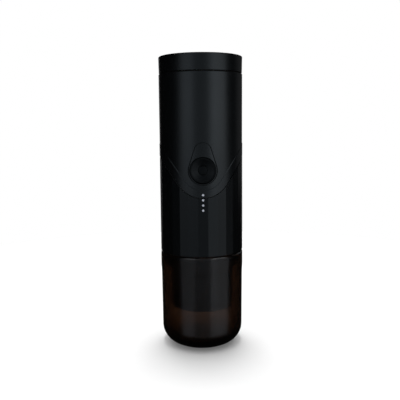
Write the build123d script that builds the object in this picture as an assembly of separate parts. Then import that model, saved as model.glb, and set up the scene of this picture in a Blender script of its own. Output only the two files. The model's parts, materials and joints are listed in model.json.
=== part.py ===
from build123d import *
from math import asin, cos, degrees, pi, radians, sin, sqrt, tan
import os

os.makedirs("parts", exist_ok=True)

# A portable espresso machine, in millimetres. It stands on its cup, so Z = 0 is the cup's base.
# Z is the axis of the round body, and the button faces -Y.

# Fits that many pieces share
overrun = 2.0
fit_gap = 0.1
run_gap = 0.3
slide_gap = 0.06
thread_gap = 0.4

# Cup
cup_height = 81.5
cup_wall = 2.2
cup_floor = 3.4
cup_rim_proud = 0.4
cup_rim_height = 12.8
cup_rim_round = 1.5
cup_step_in = 0.35
cup_step_drop = 4.6
cup_draft = 0.4
cup_corner = 15.5
cup_recess_depth = 0.6
cup_rest_width = 5.05

# Upper shell with its raised U-shaped band
seam_gap = 0.6
body_radius = 34.9
shell_wall = 2.2
shell_height = 147.95
shell_top_round = 0.5
band_relief = 0.25
band_width = 5.8
band_arc_radius = 23.6
band_arc_lift = 1.6
band_flank_angle = 55.0
shell_seam = 0.5

# Grip sleeve with narrow upright facets
facet_count = 28
sleeve_proud = 0.05
sleeve_flare = 0.33
sleeve_chamfer = 0.3

# Lid, its threaded plug and its gasket
groove_height = 0.8
groove_depth = 0.6
lid_height = 13.35
lid_foot_inset = 0.25
lid_wall = 2.4
lid_top = 2.3
lid_edge_round = 0.8
collar_wall = 3.6
plug_wall = 2.6
plug_depth = 11.85
plug_flange = 2.4
lid_gasket_thickness = 1.0
lid_gasket_width = 2.2
lid_thread_rise = 2.125

# Quick thread, the same on the lid and on the coffee holder
thread_starts = 4
thread_lead = 16.0
thread_height = 1.6
thread_root = 1.9
thread_crest = 1.3
thread_angle = 60.0
thread_sink = 0.4

# Water tank, its collar and what is fixed to its floor
collar_depth = 18.05
tank_side_gap = 0.9
tank_wall = 1.0
tank_depth = 32.0
tank_round = 3.0
tank_flange = 1.0
tank_flange_width = 2.2
tank_gasket_thickness = 1.0
heater_thickness = 3.3
heater_inset = 2.6
heater_hole_radius = 12.0
probe_x = 7.0
probe_y = 4.0
probe_radius = 1.5
probe_reach = 2.5
probe_head_radius = 3.0
probe_head = 2.5
cutout_radius = 4.0
cutout_height = 3.5
cutout_turn = 200.0
outlet_flange_radius = 5.0
outlet_flange = 1.5
outlet_stem_radius = 3.0
outlet_stem_length = 3.7

# Hoses and the barbs that they are pushed over
barb_radius = 2.5
barb_bore = 1.2
barb_length = 5.5
barb_space = 0.8
hose_wall = 1.6
hose_end_gap = 0.2

# Vibration pump, which stands upright in front of the cells
pump_offset = 6.0
pump_outlet_flange = 1.6
pump_block_radius = 8.5
pump_block_height = 15.0
chamber_radius = 2.6
chamber_height = 5.8
seat_radius = 1.2
seat_height = 1.7
ball_radius = 1.8
ball_gap = 0.05
piston_radius = 2.4
piston_length = 14.0
piston_foot_space = 1.5
plunger_radius = 4.9
plunger_head_room = 8.0
pump_tube_wall = 1.0
pump_inlet_flange = 3.0
bobbin_rise = 4.0
bobbin_head_room = 10.0
bobbin_wall = 0.9
bobbin_flange = 1.2
coil_depth = 4.6
yoke_wall = 1.0
yoke_end = 1.5
mount_ring_width = 2.1
mount_ring_height = 4.0

# Springs of the pump and of its outlet valve
pump_spring_wire = 0.8
pump_spring_radius = 3.6
pump_spring_turns = 4.0
valve_spring_wire = 0.35
valve_spring_radius = 1.3
valve_spring_turns = 4.0
spring_end_gap = 0.05

# Battery: standard round cells in an arc at the back
cell_count = 3
cell_radius = 9.2
cell_length = 65.2
cell_cap_radius = 3.2
cell_cap_height = 0.6
cell_space = 0.4
cell_edge_round = 0.8
link_thickness = 0.3
link_width = 7.0
battery_floor_rise = 11.0

# Inner frame in two halves
frame_wall = 1.6
frame_shelf = 1.5
frame_flange_width = 6.5
frame_flange = 2.0
frame_boss_radius = 2.8
frame_boss_length = 7.0
frame_boss_rises = (6.9, 69.0)
pump_shelf = 3.0

# Screws: one size for the frame, boards and brew head
screw_radius = 1.1
screw_head_radius = 2.2
screw_head = 1.5
screw_length = 12.5
screw_fit = 0.05
board_screw_length = 4.6
head_screw_length = 7.0
head_screw_inset = 3.0
head_screw_count = 4

# Control board, switch, button and teardrop plate
board_setback = 5.0
board_thickness = 1.6
board_half_width = 11.5
board_below_lights = 10.4
board_top_gap = 2.7
board_hole_side = 9.0
board_hole_inset = 3.5
board_boss_radius = 2.2
switch_size = 6.0
switch_height = 2.6
switch_bore_depth = 1.4
switch_plunger_radius = 1.7
switch_plunger_length = 2.3
switch_engaged = 0.4
button_rise = 70.3
button_radius = 10.45
button_proud = 0.1
button_rim_width = 1.1
button_dish = 1.5
button_disc_radius = 3.3
button_disc_groove = 0.5
button_disc_rise = 0.45
button_disc_groove_sink = 0.4
button_edge_round = 0.35
button_flange_radius = 11.6
button_flange = 1.2
button_flange_gap = 0.37
button_recess_radius = 4.7
plate_low_radius = 11.7
plate_top_radius = 7.0
plate_span = 15.3
plate_thickness = 1.1
plate_gap = 0.25
plate_seat_gap = 0.05
window_gap = 1.4

# Indicator lights
light_count = 4
light_radius = 1.0
light_pitch = 4.17
light_drop = 19.5
guide_half_width = 2.2
guide_thickness = 1.2
guide_margin = 2.0
led_size = 1.6
led_height = 0.8
led_space = 0.4

# Charging port at the back
charge_board_half_width = 9.0
charge_board_setback = 2.0
charge_board_depth = 16.0
charge_board_rise = 3.5
charge_post_radius = 2.0
charge_post_side = 6.5
charge_post_inset = 3.0
usb_width = 8.94
usb_height = 3.2
usb_length = 7.3
usb_wall = 0.35
usb_sink = 1.3
usb_tongue_width = 6.7
usb_tongue_thickness = 0.7
usb_tongue_length = 4.5
port_half_width = 5.6
port_half_height = 3.1
flap_half_width = 6.8
flap_thickness = 1.2
flap_above = 5.2
flap_below = 5.6
flap_plug_inset = 0.6
flap_plug_depth = 0.9
flap_strap_half_width = 3.5

# Brew head, shower screen and gaskets
head_thickness = 9.0
head_face_sink = 1.5
spigot_length = 11.1
spigot_wall = 2.9
spigot_gap = 1.2
head_thread_rise = 1.8
seal_height = 2.8
seal_rise = 3.6
seal_sink = 1.5
brew_gasket_width = 3.0
brew_gasket_margin = 0.3
brew_gasket_thickness = 2.5
screen_gap = 0.5
screen_thickness = 0.8
screen_drop = 1.1
screen_hole_radius = 0.7
screen_hole_pitch = 4.2
screen_hole_margin = 2.4
screen_rim = 0.6
shower_boss_radius = 4.0
shower_screw_head_radius = 3.0
shower_screw_head = 1.2
shower_screw_length = 6.5

# Filter basket and coffee holder
basket_wall = 0.7
basket_depth = 23.8
basket_flange_width = 3.0
basket_flange = 1.0
basket_round = 1.5
holder_wall = 2.8
holder_height = 46.5
holder_edge_round = 2.0
holder_bore_gap = 0.6
holder_bore_depth = 25.5
funnel_drop = 8.0
funnel_wall = 3.0
spout_bore = 2.5
spout_wall = 2.0
spout_length = 10.0
holder_skirt_wall = 2.3

# Wires: two from the charge board to the control board, two from there to the heater
wire_radius = 0.8
wire_pitch = 2.2
wire_bend = 3.0
charge_wire_x = -7.0
charge_wire_inset = 3.0
charge_wire_climb = 3.5
side_wire_x = -17.5
side_wire_back = 6.0
side_wire_front = 15.0
charge_wire_end_x = -9.5
charge_wire_end_rise = 9.0
heater_wire_x = 4.0
heater_wire_out = 5.4
heater_wire_drop = 3.0

# Levels that follow from the heights above
shell_foot_z = cup_height + seam_gap
shell_top_z = shell_foot_z + shell_height
lid_foot_z = shell_top_z + groove_height
lid_top_z = lid_foot_z + lid_height
collar_top_z = lid_foot_z - run_gap
collar_low_z = shell_top_z - collar_depth
tank_flange_z = collar_low_z - tank_gasket_thickness - tank_flange
tank_foot_z = tank_flange_z - tank_depth
tank_floor_z = tank_foot_z + tank_wall
heater_low_z = tank_foot_z - heater_thickness
head_top_z = shell_foot_z + head_thickness
brew_face_z = shell_foot_z + head_face_sink
spigot_low_z = shell_foot_z - spigot_length
button_z = shell_foot_z + button_rise
band_centre_z = button_z + band_arc_lift
light_top_z = button_z - light_drop
light_low_z = light_top_z - (light_count - 1) * light_pitch
board_low_z = light_low_z - board_below_lights
board_top_z = heater_low_z - board_top_gap

# Radii that follow from the body's radius, the walls and the clearances above
shell_bore = body_radius - shell_wall
frame_radius = shell_bore - fit_gap
frame_bore = frame_radius - frame_wall
groove_radius = body_radius - groove_depth
collar_bore = frame_radius - collar_wall
plug_radius = collar_bore - thread_gap - thread_height
tank_flange_radius = shell_bore - tank_side_gap
tank_radius = tank_flange_radius - tank_flange_width
tank_bore = tank_radius - tank_wall
heater_radius = tank_radius - heater_inset
cup_rim_radius = body_radius + cup_rim_proud
cup_bore = cup_rim_radius - cup_wall
spigot_radius = cup_bore - spigot_gap
spigot_bore = spigot_radius - spigot_wall
holder_radius = spigot_bore - thread_gap - thread_height
holder_bore = holder_radius - holder_wall
basket_radius = holder_bore - holder_bore_gap
basket_inner = basket_radius - basket_wall
basket_flange_radius = basket_radius + basket_flange_width
screen_radius = basket_inner - screen_gap
head_screw_circle = frame_bore - head_screw_inset
board_front = frame_bore - board_setback
charge_board_back = frame_bore - charge_board_setback
button_front = sqrt(body_radius**2 - button_radius**2) + button_proud
button_flange_front = sqrt(shell_bore**2 - button_flange_radius**2) - button_flange_gap
window_radius = button_flange_radius + window_gap
sleeve_top_radius = body_radius + sleeve_proud
sleeve_foot_radius = sleeve_top_radius + sleeve_flare
hose_bore = barb_radius + fit_gap
hose_radius = hose_bore + hose_wall
thread_pitch = thread_lead / thread_starts
pump_y = -pump_offset


def rod(radius, low, high, x=0, y=0):
    """Upright cylinder between two heights."""
    body = Cylinder(radius, high - low, align=(Align.CENTER, Align.CENTER, Align.MIN))
    return Pos(x, y, low) * body


def tube(outer, inner, low, high, x=0, y=0):
    """Upright ring between two heights, bored right through."""
    bore = rod(inner, low - overrun, high + overrun, x, y)
    return rod(outer, low, high, x, y) - bore


def lying_rod(radius, front, back, x, z):
    """Cylinder along Y, from its front end to its back end."""
    body = Cylinder(radius, back - front, align=(Align.CENTER, Align.CENTER, Align.MAX))
    return Pos(x, front, z) * Rot(90, 0, 0) * body


def block(x_pair, y_pair, z_pair):
    """Box between two corners."""
    spans = [pair[1] - pair[0] for pair in (x_pair, y_pair, z_pair)]
    corner = (x_pair[0], y_pair[0], z_pair[0])
    return Pos(*corner) * Box(*spans, align=(Align.MIN, Align.MIN, Align.MIN))


def turned(corners):
    """Solid turned about Z from (radius, height, rounding) corners."""
    points = [(radius, height) for radius, height, rounding in corners]
    roundings = [rounding for radius, height, rounding in corners]
    outline = FilletPolyline(*points, radius=roundings, close=True)
    return revolve(Plane.XZ * make_face(outline), Axis.Z)


def front_prism(face, front, back):
    """Flat outline, drawn as seen from the front, pushed through from front to back."""
    return Pos(0, back, 0) * extrude(Plane.XZ * face, back - front)


def write(solid, name):
    """Saves one piece under its own name."""
    export_step(solid, f"parts/{name}.step")


def above_band_line(radius):
    """Space above a U line: an arc about the band's centre with straight flanks."""
    lean = radians(band_flank_angle)
    reach = body_radius + overrun
    turn_x = radius * sin(lean)
    turn_z = band_centre_z - radius * cos(lean)
    side_z = turn_z + (reach - turn_x) * tan(lean)
    roof_z = lid_top_z
    outline = Curve() + [
        Line((-reach, side_z), (-turn_x, turn_z)),
        ThreePointArc((-turn_x, turn_z), (0, band_centre_z - radius), (turn_x, turn_z)),
        Line((turn_x, turn_z), (reach, side_z)),
        Line((reach, side_z), (reach, roof_z)),
        Line((reach, roof_z), (-reach, roof_z)),
        Line((-reach, roof_z), (-reach, side_z)),
    ]
    return front_prism(make_face(outline), -reach, reach)


def teardrop(grow):
    """Outline of the control plate: a large arc round the button, drawn up to a smaller one."""
    lean = asin((plate_low_radius - plate_top_radius) / plate_span)
    low = plate_low_radius + grow
    top = plate_top_radius + grow
    top_z = button_z + plate_span
    low_x = low * cos(lean)
    low_z = button_z + low * sin(lean)
    high_x = top * cos(lean)
    high_z = top_z + top * sin(lean)
    outline = Curve() + [
        ThreePointArc((-low_x, low_z), (0, button_z - low), (low_x, low_z)),
        Line((low_x, low_z), (high_x, high_z)),
        ThreePointArc((high_x, high_z), (0, top_z + top), (-high_x, high_z)),
        Line((-high_x, high_z), (-low_x, low_z)),
    ]
    return make_face(outline)


def thread_ridges(root, height, z):
    """One ridge for each start of the quick thread, rising outwards (or inwards if height < 0)."""
    rise = thread_lead * thread_angle / 360
    sink = -thread_sink if height > 0 else thread_sink
    path = Helix(thread_lead, rise, root, center=(0, 0, z))
    section = make_face(
        Polyline(
            (sink, -thread_root / 2),
            (0, -thread_root / 2),
            (height, -thread_crest / 2),
            (height, thread_crest / 2),
            (0, thread_root / 2),
            (sink, thread_root / 2),
            close=True,
        )
    )
    start = Plane(path @ 0, x_dir=(1, 0, 0), z_dir=path % 0)
    ridge = sweep(start * section, path, is_frenet=True)
    return [Rot(0, 0, turn * 360 / thread_starts) * ridge for turn in range(thread_starts)]


def spring(wire, radius, turns, low, high):
    """Coil of round wire that stands between two faces."""
    height = high - low - 2 * spring_end_gap - wire
    path = Helix(height / turns, height, radius, center=(0, pump_y, low + spring_end_gap + wire / 2))
    start = Plane(path @ 0, x_dir=(1, 0, 0), z_dir=path % 0)
    return sweep(start * Circle(wire / 2), path, is_frenet=True)


def light_heights():
    """Heights of the indicator lights, from the top one down."""
    return [light_top_z - step * light_pitch for step in range(light_count)]


# The cup: a thin turned wall with a wider rim band and a large round corner
cup_rim_low_z = cup_height - cup_rim_height
cup_step_z = cup_rim_low_z - cup_step_drop
cup_wall_radius = cup_rim_radius - cup_step_in
cup_foot_radius = cup_wall_radius - cup_draft
cup_recess_radius = cup_foot_radius - cup_corner - cup_rest_width
cup = turned(
    [
        (0, cup_recess_depth, 0),
        (cup_recess_radius, cup_recess_depth, 0),
        (cup_recess_radius, 0, 0),
        (cup_foot_radius, 0, cup_corner),
        (cup_wall_radius, cup_step_z, 0),
        (cup_rim_radius, cup_rim_low_z, 0),
        (cup_rim_radius, cup_height, cup_rim_round),
        (cup_bore, cup_height, 0),
        (cup_bore, cup_rim_low_z, 0),
        (cup_wall_radius - cup_wall, cup_step_z, 0),
        (cup_foot_radius - cup_wall, cup_floor, cup_corner - cup_wall),
        (0, cup_floor, 0),
    ]
)
write(cup, "cup")

# Upper shell: a smooth tube that ends below in the raised band, with a pocket for the plate
above_seam = above_band_line(band_arc_radius)
above_crease = above_band_line(band_arc_radius - band_width)
shell_tube = turned(
    [
        (shell_bore, shell_foot_z, 0),
        (body_radius, shell_foot_z, 0),
        (body_radius, shell_top_z, shell_top_round),
        (shell_bore, shell_top_z, 0),
    ]
)
band_tube = tube(body_radius + band_relief, shell_bore, shell_foot_z, shell_top_z)
button_hole = lying_rod(button_radius + run_gap, -body_radius - overrun, 0, 0, button_z)
plate_pocket = front_prism(teardrop(plate_gap), -body_radius - overrun, 0)
plate_pocket -= rod(body_radius - plate_thickness - plate_seat_gap, shell_foot_z, shell_top_z)
light_holes = [
    lying_rod(light_radius + fit_gap, -body_radius - overrun, 0, 0, z) for z in light_heights()
]
upper_shell = (shell_tube & above_seam) + (band_tube & above_seam - above_crease)
upper_shell -= [plate_pocket, button_hole, *light_holes]
write(upper_shell, "upper_shell")

# Grip sleeve: a prism of upright facets that widens a little downwards, cut to the same U line
facet_turn = 270 + 180 / facet_count


def facet_outline(radius, z):
    return Pos(0, 0, z) * RegularPolygon(radius, facet_count, rotation=facet_turn)


sleeve_prism = loft(
    [
        facet_outline(sleeve_foot_radius - sleeve_chamfer, shell_foot_z),
        facet_outline(sleeve_foot_radius, shell_foot_z + sleeve_chamfer),
        facet_outline(sleeve_top_radius, shell_top_z),
    ],
    ruled=True,
)
charge_board_z = head_top_z + charge_board_rise
usb_low_z = charge_board_z + board_thickness
port_z = usb_low_z + usb_height / 2
back_facet_y = sleeve_foot_radius * cos(pi / facet_count)
flap_floor_y = back_facet_y - flap_thickness
hinge_y = back_facet_y - flap_thickness / 2
hinge_z = port_z - flap_below
flap_top_z = port_z + flap_above
port_hole = block(
    (-port_half_width, port_half_width),
    (0, body_radius + overrun),
    (port_z - port_half_height, port_z + port_half_height),
)
flap_pocket = block(
    (-flap_half_width - run_gap, flap_half_width + run_gap),
    (flap_floor_y - run_gap, body_radius + overrun),
    (hinge_z - flap_thickness, flap_top_z + run_gap),
)
grip_sleeve = sleeve_prism - rod(shell_bore, shell_foot_z - overrun, shell_top_z + overrun)
grip_sleeve -= [above_band_line(band_arc_radius + shell_seam), port_hole, flap_pocket, *light_holes]
write(grip_sleeve, "grip_sleeve")

# Port flap: soft rubber plate that follows the facets, with a plug and a strap as its hinge
flap_plate = sleeve_prism & block(
    (-flap_half_width, flap_half_width),
    (flap_floor_y, body_radius + overrun),
    (hinge_z + run_gap, flap_top_z),
)
flap_plug = block(
    (flap_plug_inset - port_half_width, port_half_width - flap_plug_inset),
    (flap_floor_y - flap_plug_depth, flap_floor_y),
    (port_z - port_half_height + flap_plug_inset, port_z + port_half_height - flap_plug_inset),
)
strap_barrel = Cylinder(flap_thickness / 2, 2 * flap_strap_half_width, rotation=(0, 90, 0))
flap_strap = Pos(0, hinge_y, hinge_z) * strap_barrel
flap_strap += block(
    (-flap_strap_half_width, flap_strap_half_width),
    (flap_floor_y, hinge_y + flap_thickness / 2),
    (hinge_z, hinge_z + 2 * run_gap),
) & sleeve_prism
write(flap_plate + flap_plug + flap_strap, "port_flap")

# Tank collar: ring that closes the shell's top, carries the tank and takes the lid's thread
collar = turned(
    [
        (collar_bore, collar_low_z, 0),
        (shell_bore - fit_gap, collar_low_z, 0),
        (shell_bore - fit_gap, shell_top_z, 0),
        (groove_radius, shell_top_z, 0),
        (groove_radius, collar_top_z, 0),
        (collar_bore, collar_top_z, 0),
    ]
)
lid_thread_z = collar_low_z + collar_depth / 2 + lid_thread_rise - thread_pitch / 2
collar += thread_ridges(collar_bore, -thread_height, lid_thread_z)
write(collar, "tank_collar")

# Lid: a plain cap, the threaded plug glued inside it, and a flat gasket
lid_foot_radius = body_radius - lid_foot_inset
lid_bore = lid_foot_radius - lid_wall
lid_gasket_low_z = collar_top_z + run_gap
plug_flange_z = lid_gasket_low_z + lid_gasket_thickness + run_gap
plug_low_z = lid_foot_z - plug_depth
lid_cap = turned(
    [
        (0, lid_top_z, 0),
        (body_radius, lid_top_z, lid_edge_round),
        (lid_foot_radius, lid_foot_z, 0),
        (lid_bore, lid_foot_z, 0),
        (lid_bore, lid_top_z - lid_top, 0),
        (0, lid_top_z - lid_top, 0),
    ]
)
write(lid_cap, "lid_cap")
lid_plug = turned(
    [
        (0, plug_low_z, 0),
        (plug_radius, plug_low_z, 0),
        (plug_radius, plug_flange_z, 0),
        (lid_bore - fit_gap, plug_flange_z, 0),
        (lid_bore - fit_gap, plug_flange_z + plug_flange, 0),
        (plug_radius - plug_wall, plug_flange_z + plug_flange, 0),
        (plug_radius - plug_wall, plug_low_z + plug_wall, 0),
        (0, plug_low_z + plug_wall, 0),
    ]
)
lid_plug += thread_ridges(plug_radius, thread_height, lid_thread_z + thread_pitch / 2)
write(lid_plug, "lid_plug")
lid_gasket_inner = collar_bore + thread_gap
lid_gasket = tube(
    lid_gasket_inner + lid_gasket_width,
    lid_gasket_inner,
    lid_gasket_low_z,
    lid_gasket_low_z + lid_gasket_thickness,
)
write(lid_gasket, "lid_gasket")

# Water tank: thin steel pot that hangs by its flange between the frame and the collar
tank = turned(
    [
        (0, tank_foot_z, 0),
        (tank_radius, tank_foot_z, tank_round),
        (tank_radius, tank_flange_z, 0),
        (tank_flange_radius, tank_flange_z, 0),
        (tank_flange_radius, tank_flange_z + tank_flange, 0),
        (tank_bore, tank_flange_z + tank_flange, 0),
        (tank_bore, tank_floor_z, tank_round - tank_wall),
        (0, tank_floor_z, 0),
    ]
)
outlet_hole = rod(outlet_stem_radius + fit_gap, tank_foot_z - overrun, tank_floor_z + overrun, 0, pump_y)
probe_hole = rod(probe_radius + fit_gap, tank_foot_z - overrun, tank_floor_z + overrun, probe_x, probe_y)
write(tank - [outlet_hole, probe_hole], "water_tank")
tank_gasket = tube(tank_flange_radius, tank_bore, tank_flange_z + tank_flange, collar_low_z)
write(tank_gasket, "tank_gasket")
write(tube(heater_radius, heater_hole_radius, heater_low_z, tank_foot_z), "tank_heater")
probe = rod(probe_head_radius, tank_foot_z - probe_head, tank_foot_z, probe_x, probe_y)
probe += rod(probe_radius, tank_foot_z, tank_floor_z + probe_reach, probe_x, probe_y)
write(probe, "temperature_probe")
cutout_circle = (heater_radius + heater_hole_radius) / 2
cutout_x = cutout_circle * cos(radians(cutout_turn))
cutout_y = cutout_circle * sin(radians(cutout_turn))
cutout = rod(cutout_radius, heater_low_z - cutout_height, heater_low_z, cutout_x, cutout_y)
write(cutout, "thermal_cutout")

# Levels of the pump, which stands in line with the brew head's inlet and the tank's outlet
outlet_barb_z = head_top_z + barb_length + barb_space
block_low_z = outlet_barb_z + barb_length + pump_outlet_flange
block_top_z = block_low_z + pump_block_height
seat_low_z = block_low_z + chamber_height
piston_bore_z = seat_low_z + seat_height
piston_low_z = piston_bore_z + piston_foot_space
plunger_low_z = piston_low_z + piston_length
tank_barb_z = tank_foot_z - outlet_stem_length - barb_length
inlet_barb_z = tank_barb_z - barb_space - barb_length
tube_top_z = inlet_barb_z - pump_inlet_flange
plunger_top_z = tube_top_z - plunger_head_room
pump_tube_bore = plunger_radius + slide_gap
pump_tube_radius = pump_tube_bore + pump_tube_wall


def barb(low):
    """Plain hose barb with its bore, on the pump's axis."""
    return rod(barb_radius, low, low + barb_length, 0, pump_y)


def waterway(low, high):
    """Narrow bore on the pump's axis, cut a little past both ends."""
    return rod(barb_bore, low - overrun, high + overrun, 0, pump_y)


def hose(low):
    """Short straight hose over two barbs that face each other."""
    ends = 2 * barb_length + barb_space
    return tube(hose_radius, hose_bore, low + hose_end_gap, low + ends - hose_end_gap, 0, pump_y)


# Tank outlet: screwed in from inside the tank, with a barb below for the suction hose
outlet_stem_low_z = tank_barb_z + barb_length
tank_outlet = rod(outlet_flange_radius, tank_floor_z, tank_floor_z + outlet_flange, 0, pump_y)
tank_outlet += rod(outlet_stem_radius, outlet_stem_low_z, tank_floor_z, 0, pump_y)
tank_outlet += barb(tank_barb_z)
write(tank_outlet - waterway(tank_barb_z, tank_floor_z + outlet_flange), "tank_outlet")
write(hose(inlet_barb_z), "suction_hose")
write(hose(head_top_z), "pressure_hose")

# Pump: outlet with barb, block with valve chamber and piston bore, guide tube, inlet with barb
pump_outlet = rod(pump_block_radius, block_low_z - pump_outlet_flange, block_low_z, 0, pump_y)
pump_outlet += barb(outlet_barb_z)
write(pump_outlet - waterway(outlet_barb_z, block_low_z), "pump_outlet")
pump_block = rod(pump_block_radius, block_low_z, block_top_z, 0, pump_y)
pump_block -= rod(chamber_radius, block_low_z - overrun, seat_low_z, 0, pump_y)
pump_block -= rod(seat_radius, seat_low_z - overrun, piston_bore_z + overrun, 0, pump_y)
pump_block -= rod(piston_radius + slide_gap, piston_bore_z, block_top_z + overrun, 0, pump_y)
write(pump_block, "pump_block")
write(tube(pump_tube_radius, pump_tube_bore, block_top_z, tube_top_z, 0, pump_y), "pump_tube")
pump_inlet = rod(pump_tube_radius + pump_tube_wall, tube_top_z, inlet_barb_z, 0, pump_y)
pump_inlet += barb(inlet_barb_z)
write(pump_inlet - waterway(tube_top_z, inlet_barb_z + barb_length), "pump_inlet")
plunger = rod(plunger_radius, plunger_low_z, plunger_top_z, 0, pump_y)
plunger += rod(piston_radius, piston_low_z, plunger_low_z, 0, pump_y)
write(plunger, "pump_plunger")
pump_spring = spring(
    pump_spring_wire, pump_spring_radius, pump_spring_turns, plunger_top_z, tube_top_z
)
write(pump_spring, "pump_spring")

# Outlet valve: a ball pressed up against its seat by a light spring
ball_z = seat_low_z - sqrt(ball_radius**2 - seat_radius**2) - ball_gap
write(Pos(0, pump_y, ball_z) * Sphere(ball_radius), "valve_ball")
valve_spring = spring(
    valve_spring_wire, valve_spring_radius, valve_spring_turns, block_low_z, ball_z - ball_radius
)
write(valve_spring, "valve_spring")

# Pump coil: bobbin and winding inside a steel yoke with a loose end plate, on two rubber rings
bobbin_low_z = block_top_z + bobbin_rise
bobbin_top_z = tube_top_z - bobbin_head_room
bobbin_bore = pump_tube_radius + fit_gap
winding_inner = bobbin_bore + bobbin_wall
winding_outer = winding_inner + coil_depth
bobbin = tube(winding_inner, bobbin_bore, bobbin_low_z, bobbin_top_z, 0, pump_y)
for low in (bobbin_low_z, bobbin_top_z - bobbin_flange):
    bobbin += tube(winding_outer, bobbin_bore, low, low + bobbin_flange, 0, pump_y)
write(bobbin, "pump_bobbin")
winding = tube(
    winding_outer - fit_gap,
    winding_inner + fit_gap,
    bobbin_low_z + bobbin_flange,
    bobbin_top_z - bobbin_flange,
    0,
    pump_y,
)
write(winding, "pump_coil")
yoke_bore = winding_outer + fit_gap
yoke_radius = yoke_bore + yoke_wall
yoke = tube(yoke_radius, yoke_bore, bobbin_low_z, bobbin_top_z, 0, pump_y)
yoke += tube(yoke_radius, bobbin_bore, bobbin_low_z - yoke_end, bobbin_low_z, 0, pump_y)
write(yoke, "pump_yoke")
yoke_plate = tube(yoke_radius, bobbin_bore, bobbin_top_z, bobbin_top_z + yoke_end, 0, pump_y)
write(yoke_plate, "yoke_plate")
mount_bore = yoke_radius + fit_gap
mount_radius = mount_bore + mount_ring_width
mount_lows = (bobbin_low_z, bobbin_top_z - mount_ring_height)
mounts = [
    tube(mount_radius, mount_bore, low, low + mount_ring_height, 0, pump_y) for low in mount_lows
]
write(Compound(mounts), "pump_mounts")

# Battery: cells side by side in an arc, joined by thin links above and below
cell_ring = frame_bore - cell_radius - run_gap
cell_step = 2 * asin((cell_radius + cell_space / 2) / cell_ring)
battery_floor_z = head_top_z + battery_floor_rise + frame_shelf
cell_low_z = battery_floor_z + link_thickness
cell_top_z = cell_low_z + cell_length
cell_angles = [(index - (cell_count - 1) / 2) * cell_step for index in range(cell_count)]
cell_places = [(cell_ring * sin(turn), cell_ring * cos(turn)) for turn in cell_angles]
for number, (cell_x, cell_y) in enumerate(cell_places, start=1):
    can = rod(cell_radius, cell_low_z, cell_top_z - cell_cap_height)
    can = fillet(can.edges().filter_by(GeomType.CIRCLE), cell_edge_round)
    cap = rod(cell_cap_radius, cell_top_z - cell_cap_height, cell_top_z)
    write(Pos(cell_x, cell_y, 0) * (can + cap), f"battery_cell_{number}")


def cell_link(first, second, low):
    """Thin strip that joins two neighbouring cells, seen from above."""
    middle = [(a + b) / 2 for a, b in zip(cell_places[first], cell_places[second])]
    turn = -degrees((cell_angles[first] + cell_angles[second]) / 2)
    length = 2 * cell_ring * sin(cell_step / 2) + link_width
    strip = Box(length, link_width, link_thickness, align=(Align.CENTER, Align.CENTER, Align.MIN))
    return Pos(*middle, low) * Rot(0, 0, turn) * strip


write(Compound([cell_link(0, 1, cell_top_z), cell_link(1, 2, battery_floor_z)]), "cell_links")

# Inner frame: two half tubes inside the shells, with shelves for the cells and the pump
frame_foot_z = head_top_z
frame_top_z = tank_flange_z
cell_roof_z = cell_top_z + link_thickness + fit_gap
frame_tube = tube(frame_radius, frame_bore, frame_foot_z, frame_top_z)
foot_ring = tube(frame_radius, frame_bore - frame_flange_width, frame_foot_z, frame_foot_z + frame_flange)
head_screw_places = [
    (head_screw_circle * cos(turn), head_screw_circle * sin(turn))
    for turn in [2 * pi * (step + 0.5) / head_screw_count for step in range(head_screw_count)]
]
head_screw_holes = [
    rod(screw_radius + screw_fit, frame_foot_z - overrun, frame_foot_z + frame_flange + overrun, x, y)
    for x, y in head_screw_places
]
boss_reach = frame_boss_length + screw_head
boss_x = sqrt(frame_bore**2 - boss_reach**2) - screw_head_radius - run_gap
boss_places = [(side * boss_x, head_top_z + rise) for side in (-1, 1) for rise in frame_boss_rises]
boss_holes = [
    lying_rod(screw_radius + screw_fit, -frame_boss_length - overrun, frame_boss_length + overrun, x, z)
    for x, z in boss_places
]
inside_frame = rod(frame_radius, frame_foot_z, frame_top_z)


def frame_boss(front, back, x, z):
    """Screw boss along Y, with a web that joins it to the frame's wall."""
    wall_x = frame_radius if x > 0 else -frame_radius
    web = block(
        (min(x, wall_x), max(x, wall_x)),
        (front, back),
        (z - frame_boss_radius, z + frame_boss_radius),
    )
    return (lying_rod(frame_boss_radius, front, back, x, z) + web) & inside_frame


front_half = block(
    (-frame_radius, frame_radius), (-frame_radius, -fit_gap / 2), (frame_foot_z, frame_top_z)
)
rear_half = block(
    (-frame_radius, frame_radius), (fit_gap / 2, frame_radius), (frame_foot_z, frame_top_z)
)

# Front half: shelves round the pump's rubber rings, and bosses for the control board
frame_front = frame_tube + foot_ring
for low in mount_lows:
    middle = low + mount_ring_height / 2
    shelf = rod(frame_radius, middle - pump_shelf / 2, middle + pump_shelf / 2)
    shelf -= rod(mount_radius + fit_gap, frame_foot_z, frame_top_z, 0, pump_y)
    frame_front += shelf
board_bay = block(
    (-board_half_width - run_gap, board_half_width + run_gap),
    (-board_front - run_gap, board_thickness + run_gap - board_front),
    (board_low_z - run_gap, board_top_z + run_gap),
)
switch_bay = block(
    (-board_half_width, board_half_width), (-frame_bore, -board_front), (board_low_z, board_top_z)
)
window = lying_rod(window_radius, -frame_radius - overrun, -board_front, 0, button_z)
light_slot = block(
    (-light_radius - run_gap, light_radius + run_gap),
    (-frame_radius - overrun, -board_front),
    (light_heights()[-1] - guide_margin, light_heights()[0] + guide_margin),
)
frame_front -= [board_bay, switch_bay & rod(frame_bore, frame_foot_z, frame_top_z), window, light_slot]
board_hole_heights = (board_low_z + board_hole_inset, light_top_z + guide_margin + board_boss_radius)
board_holes = [(side * board_hole_side, z) for side in (-1, 1) for z in board_hole_heights]
for x, z in board_holes:
    frame_front += lying_rod(board_boss_radius, -frame_bore, -board_front, x, z) & inside_frame
for x, z in boss_places:
    frame_front += frame_boss(-frame_boss_length, 0, x, z)
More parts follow.
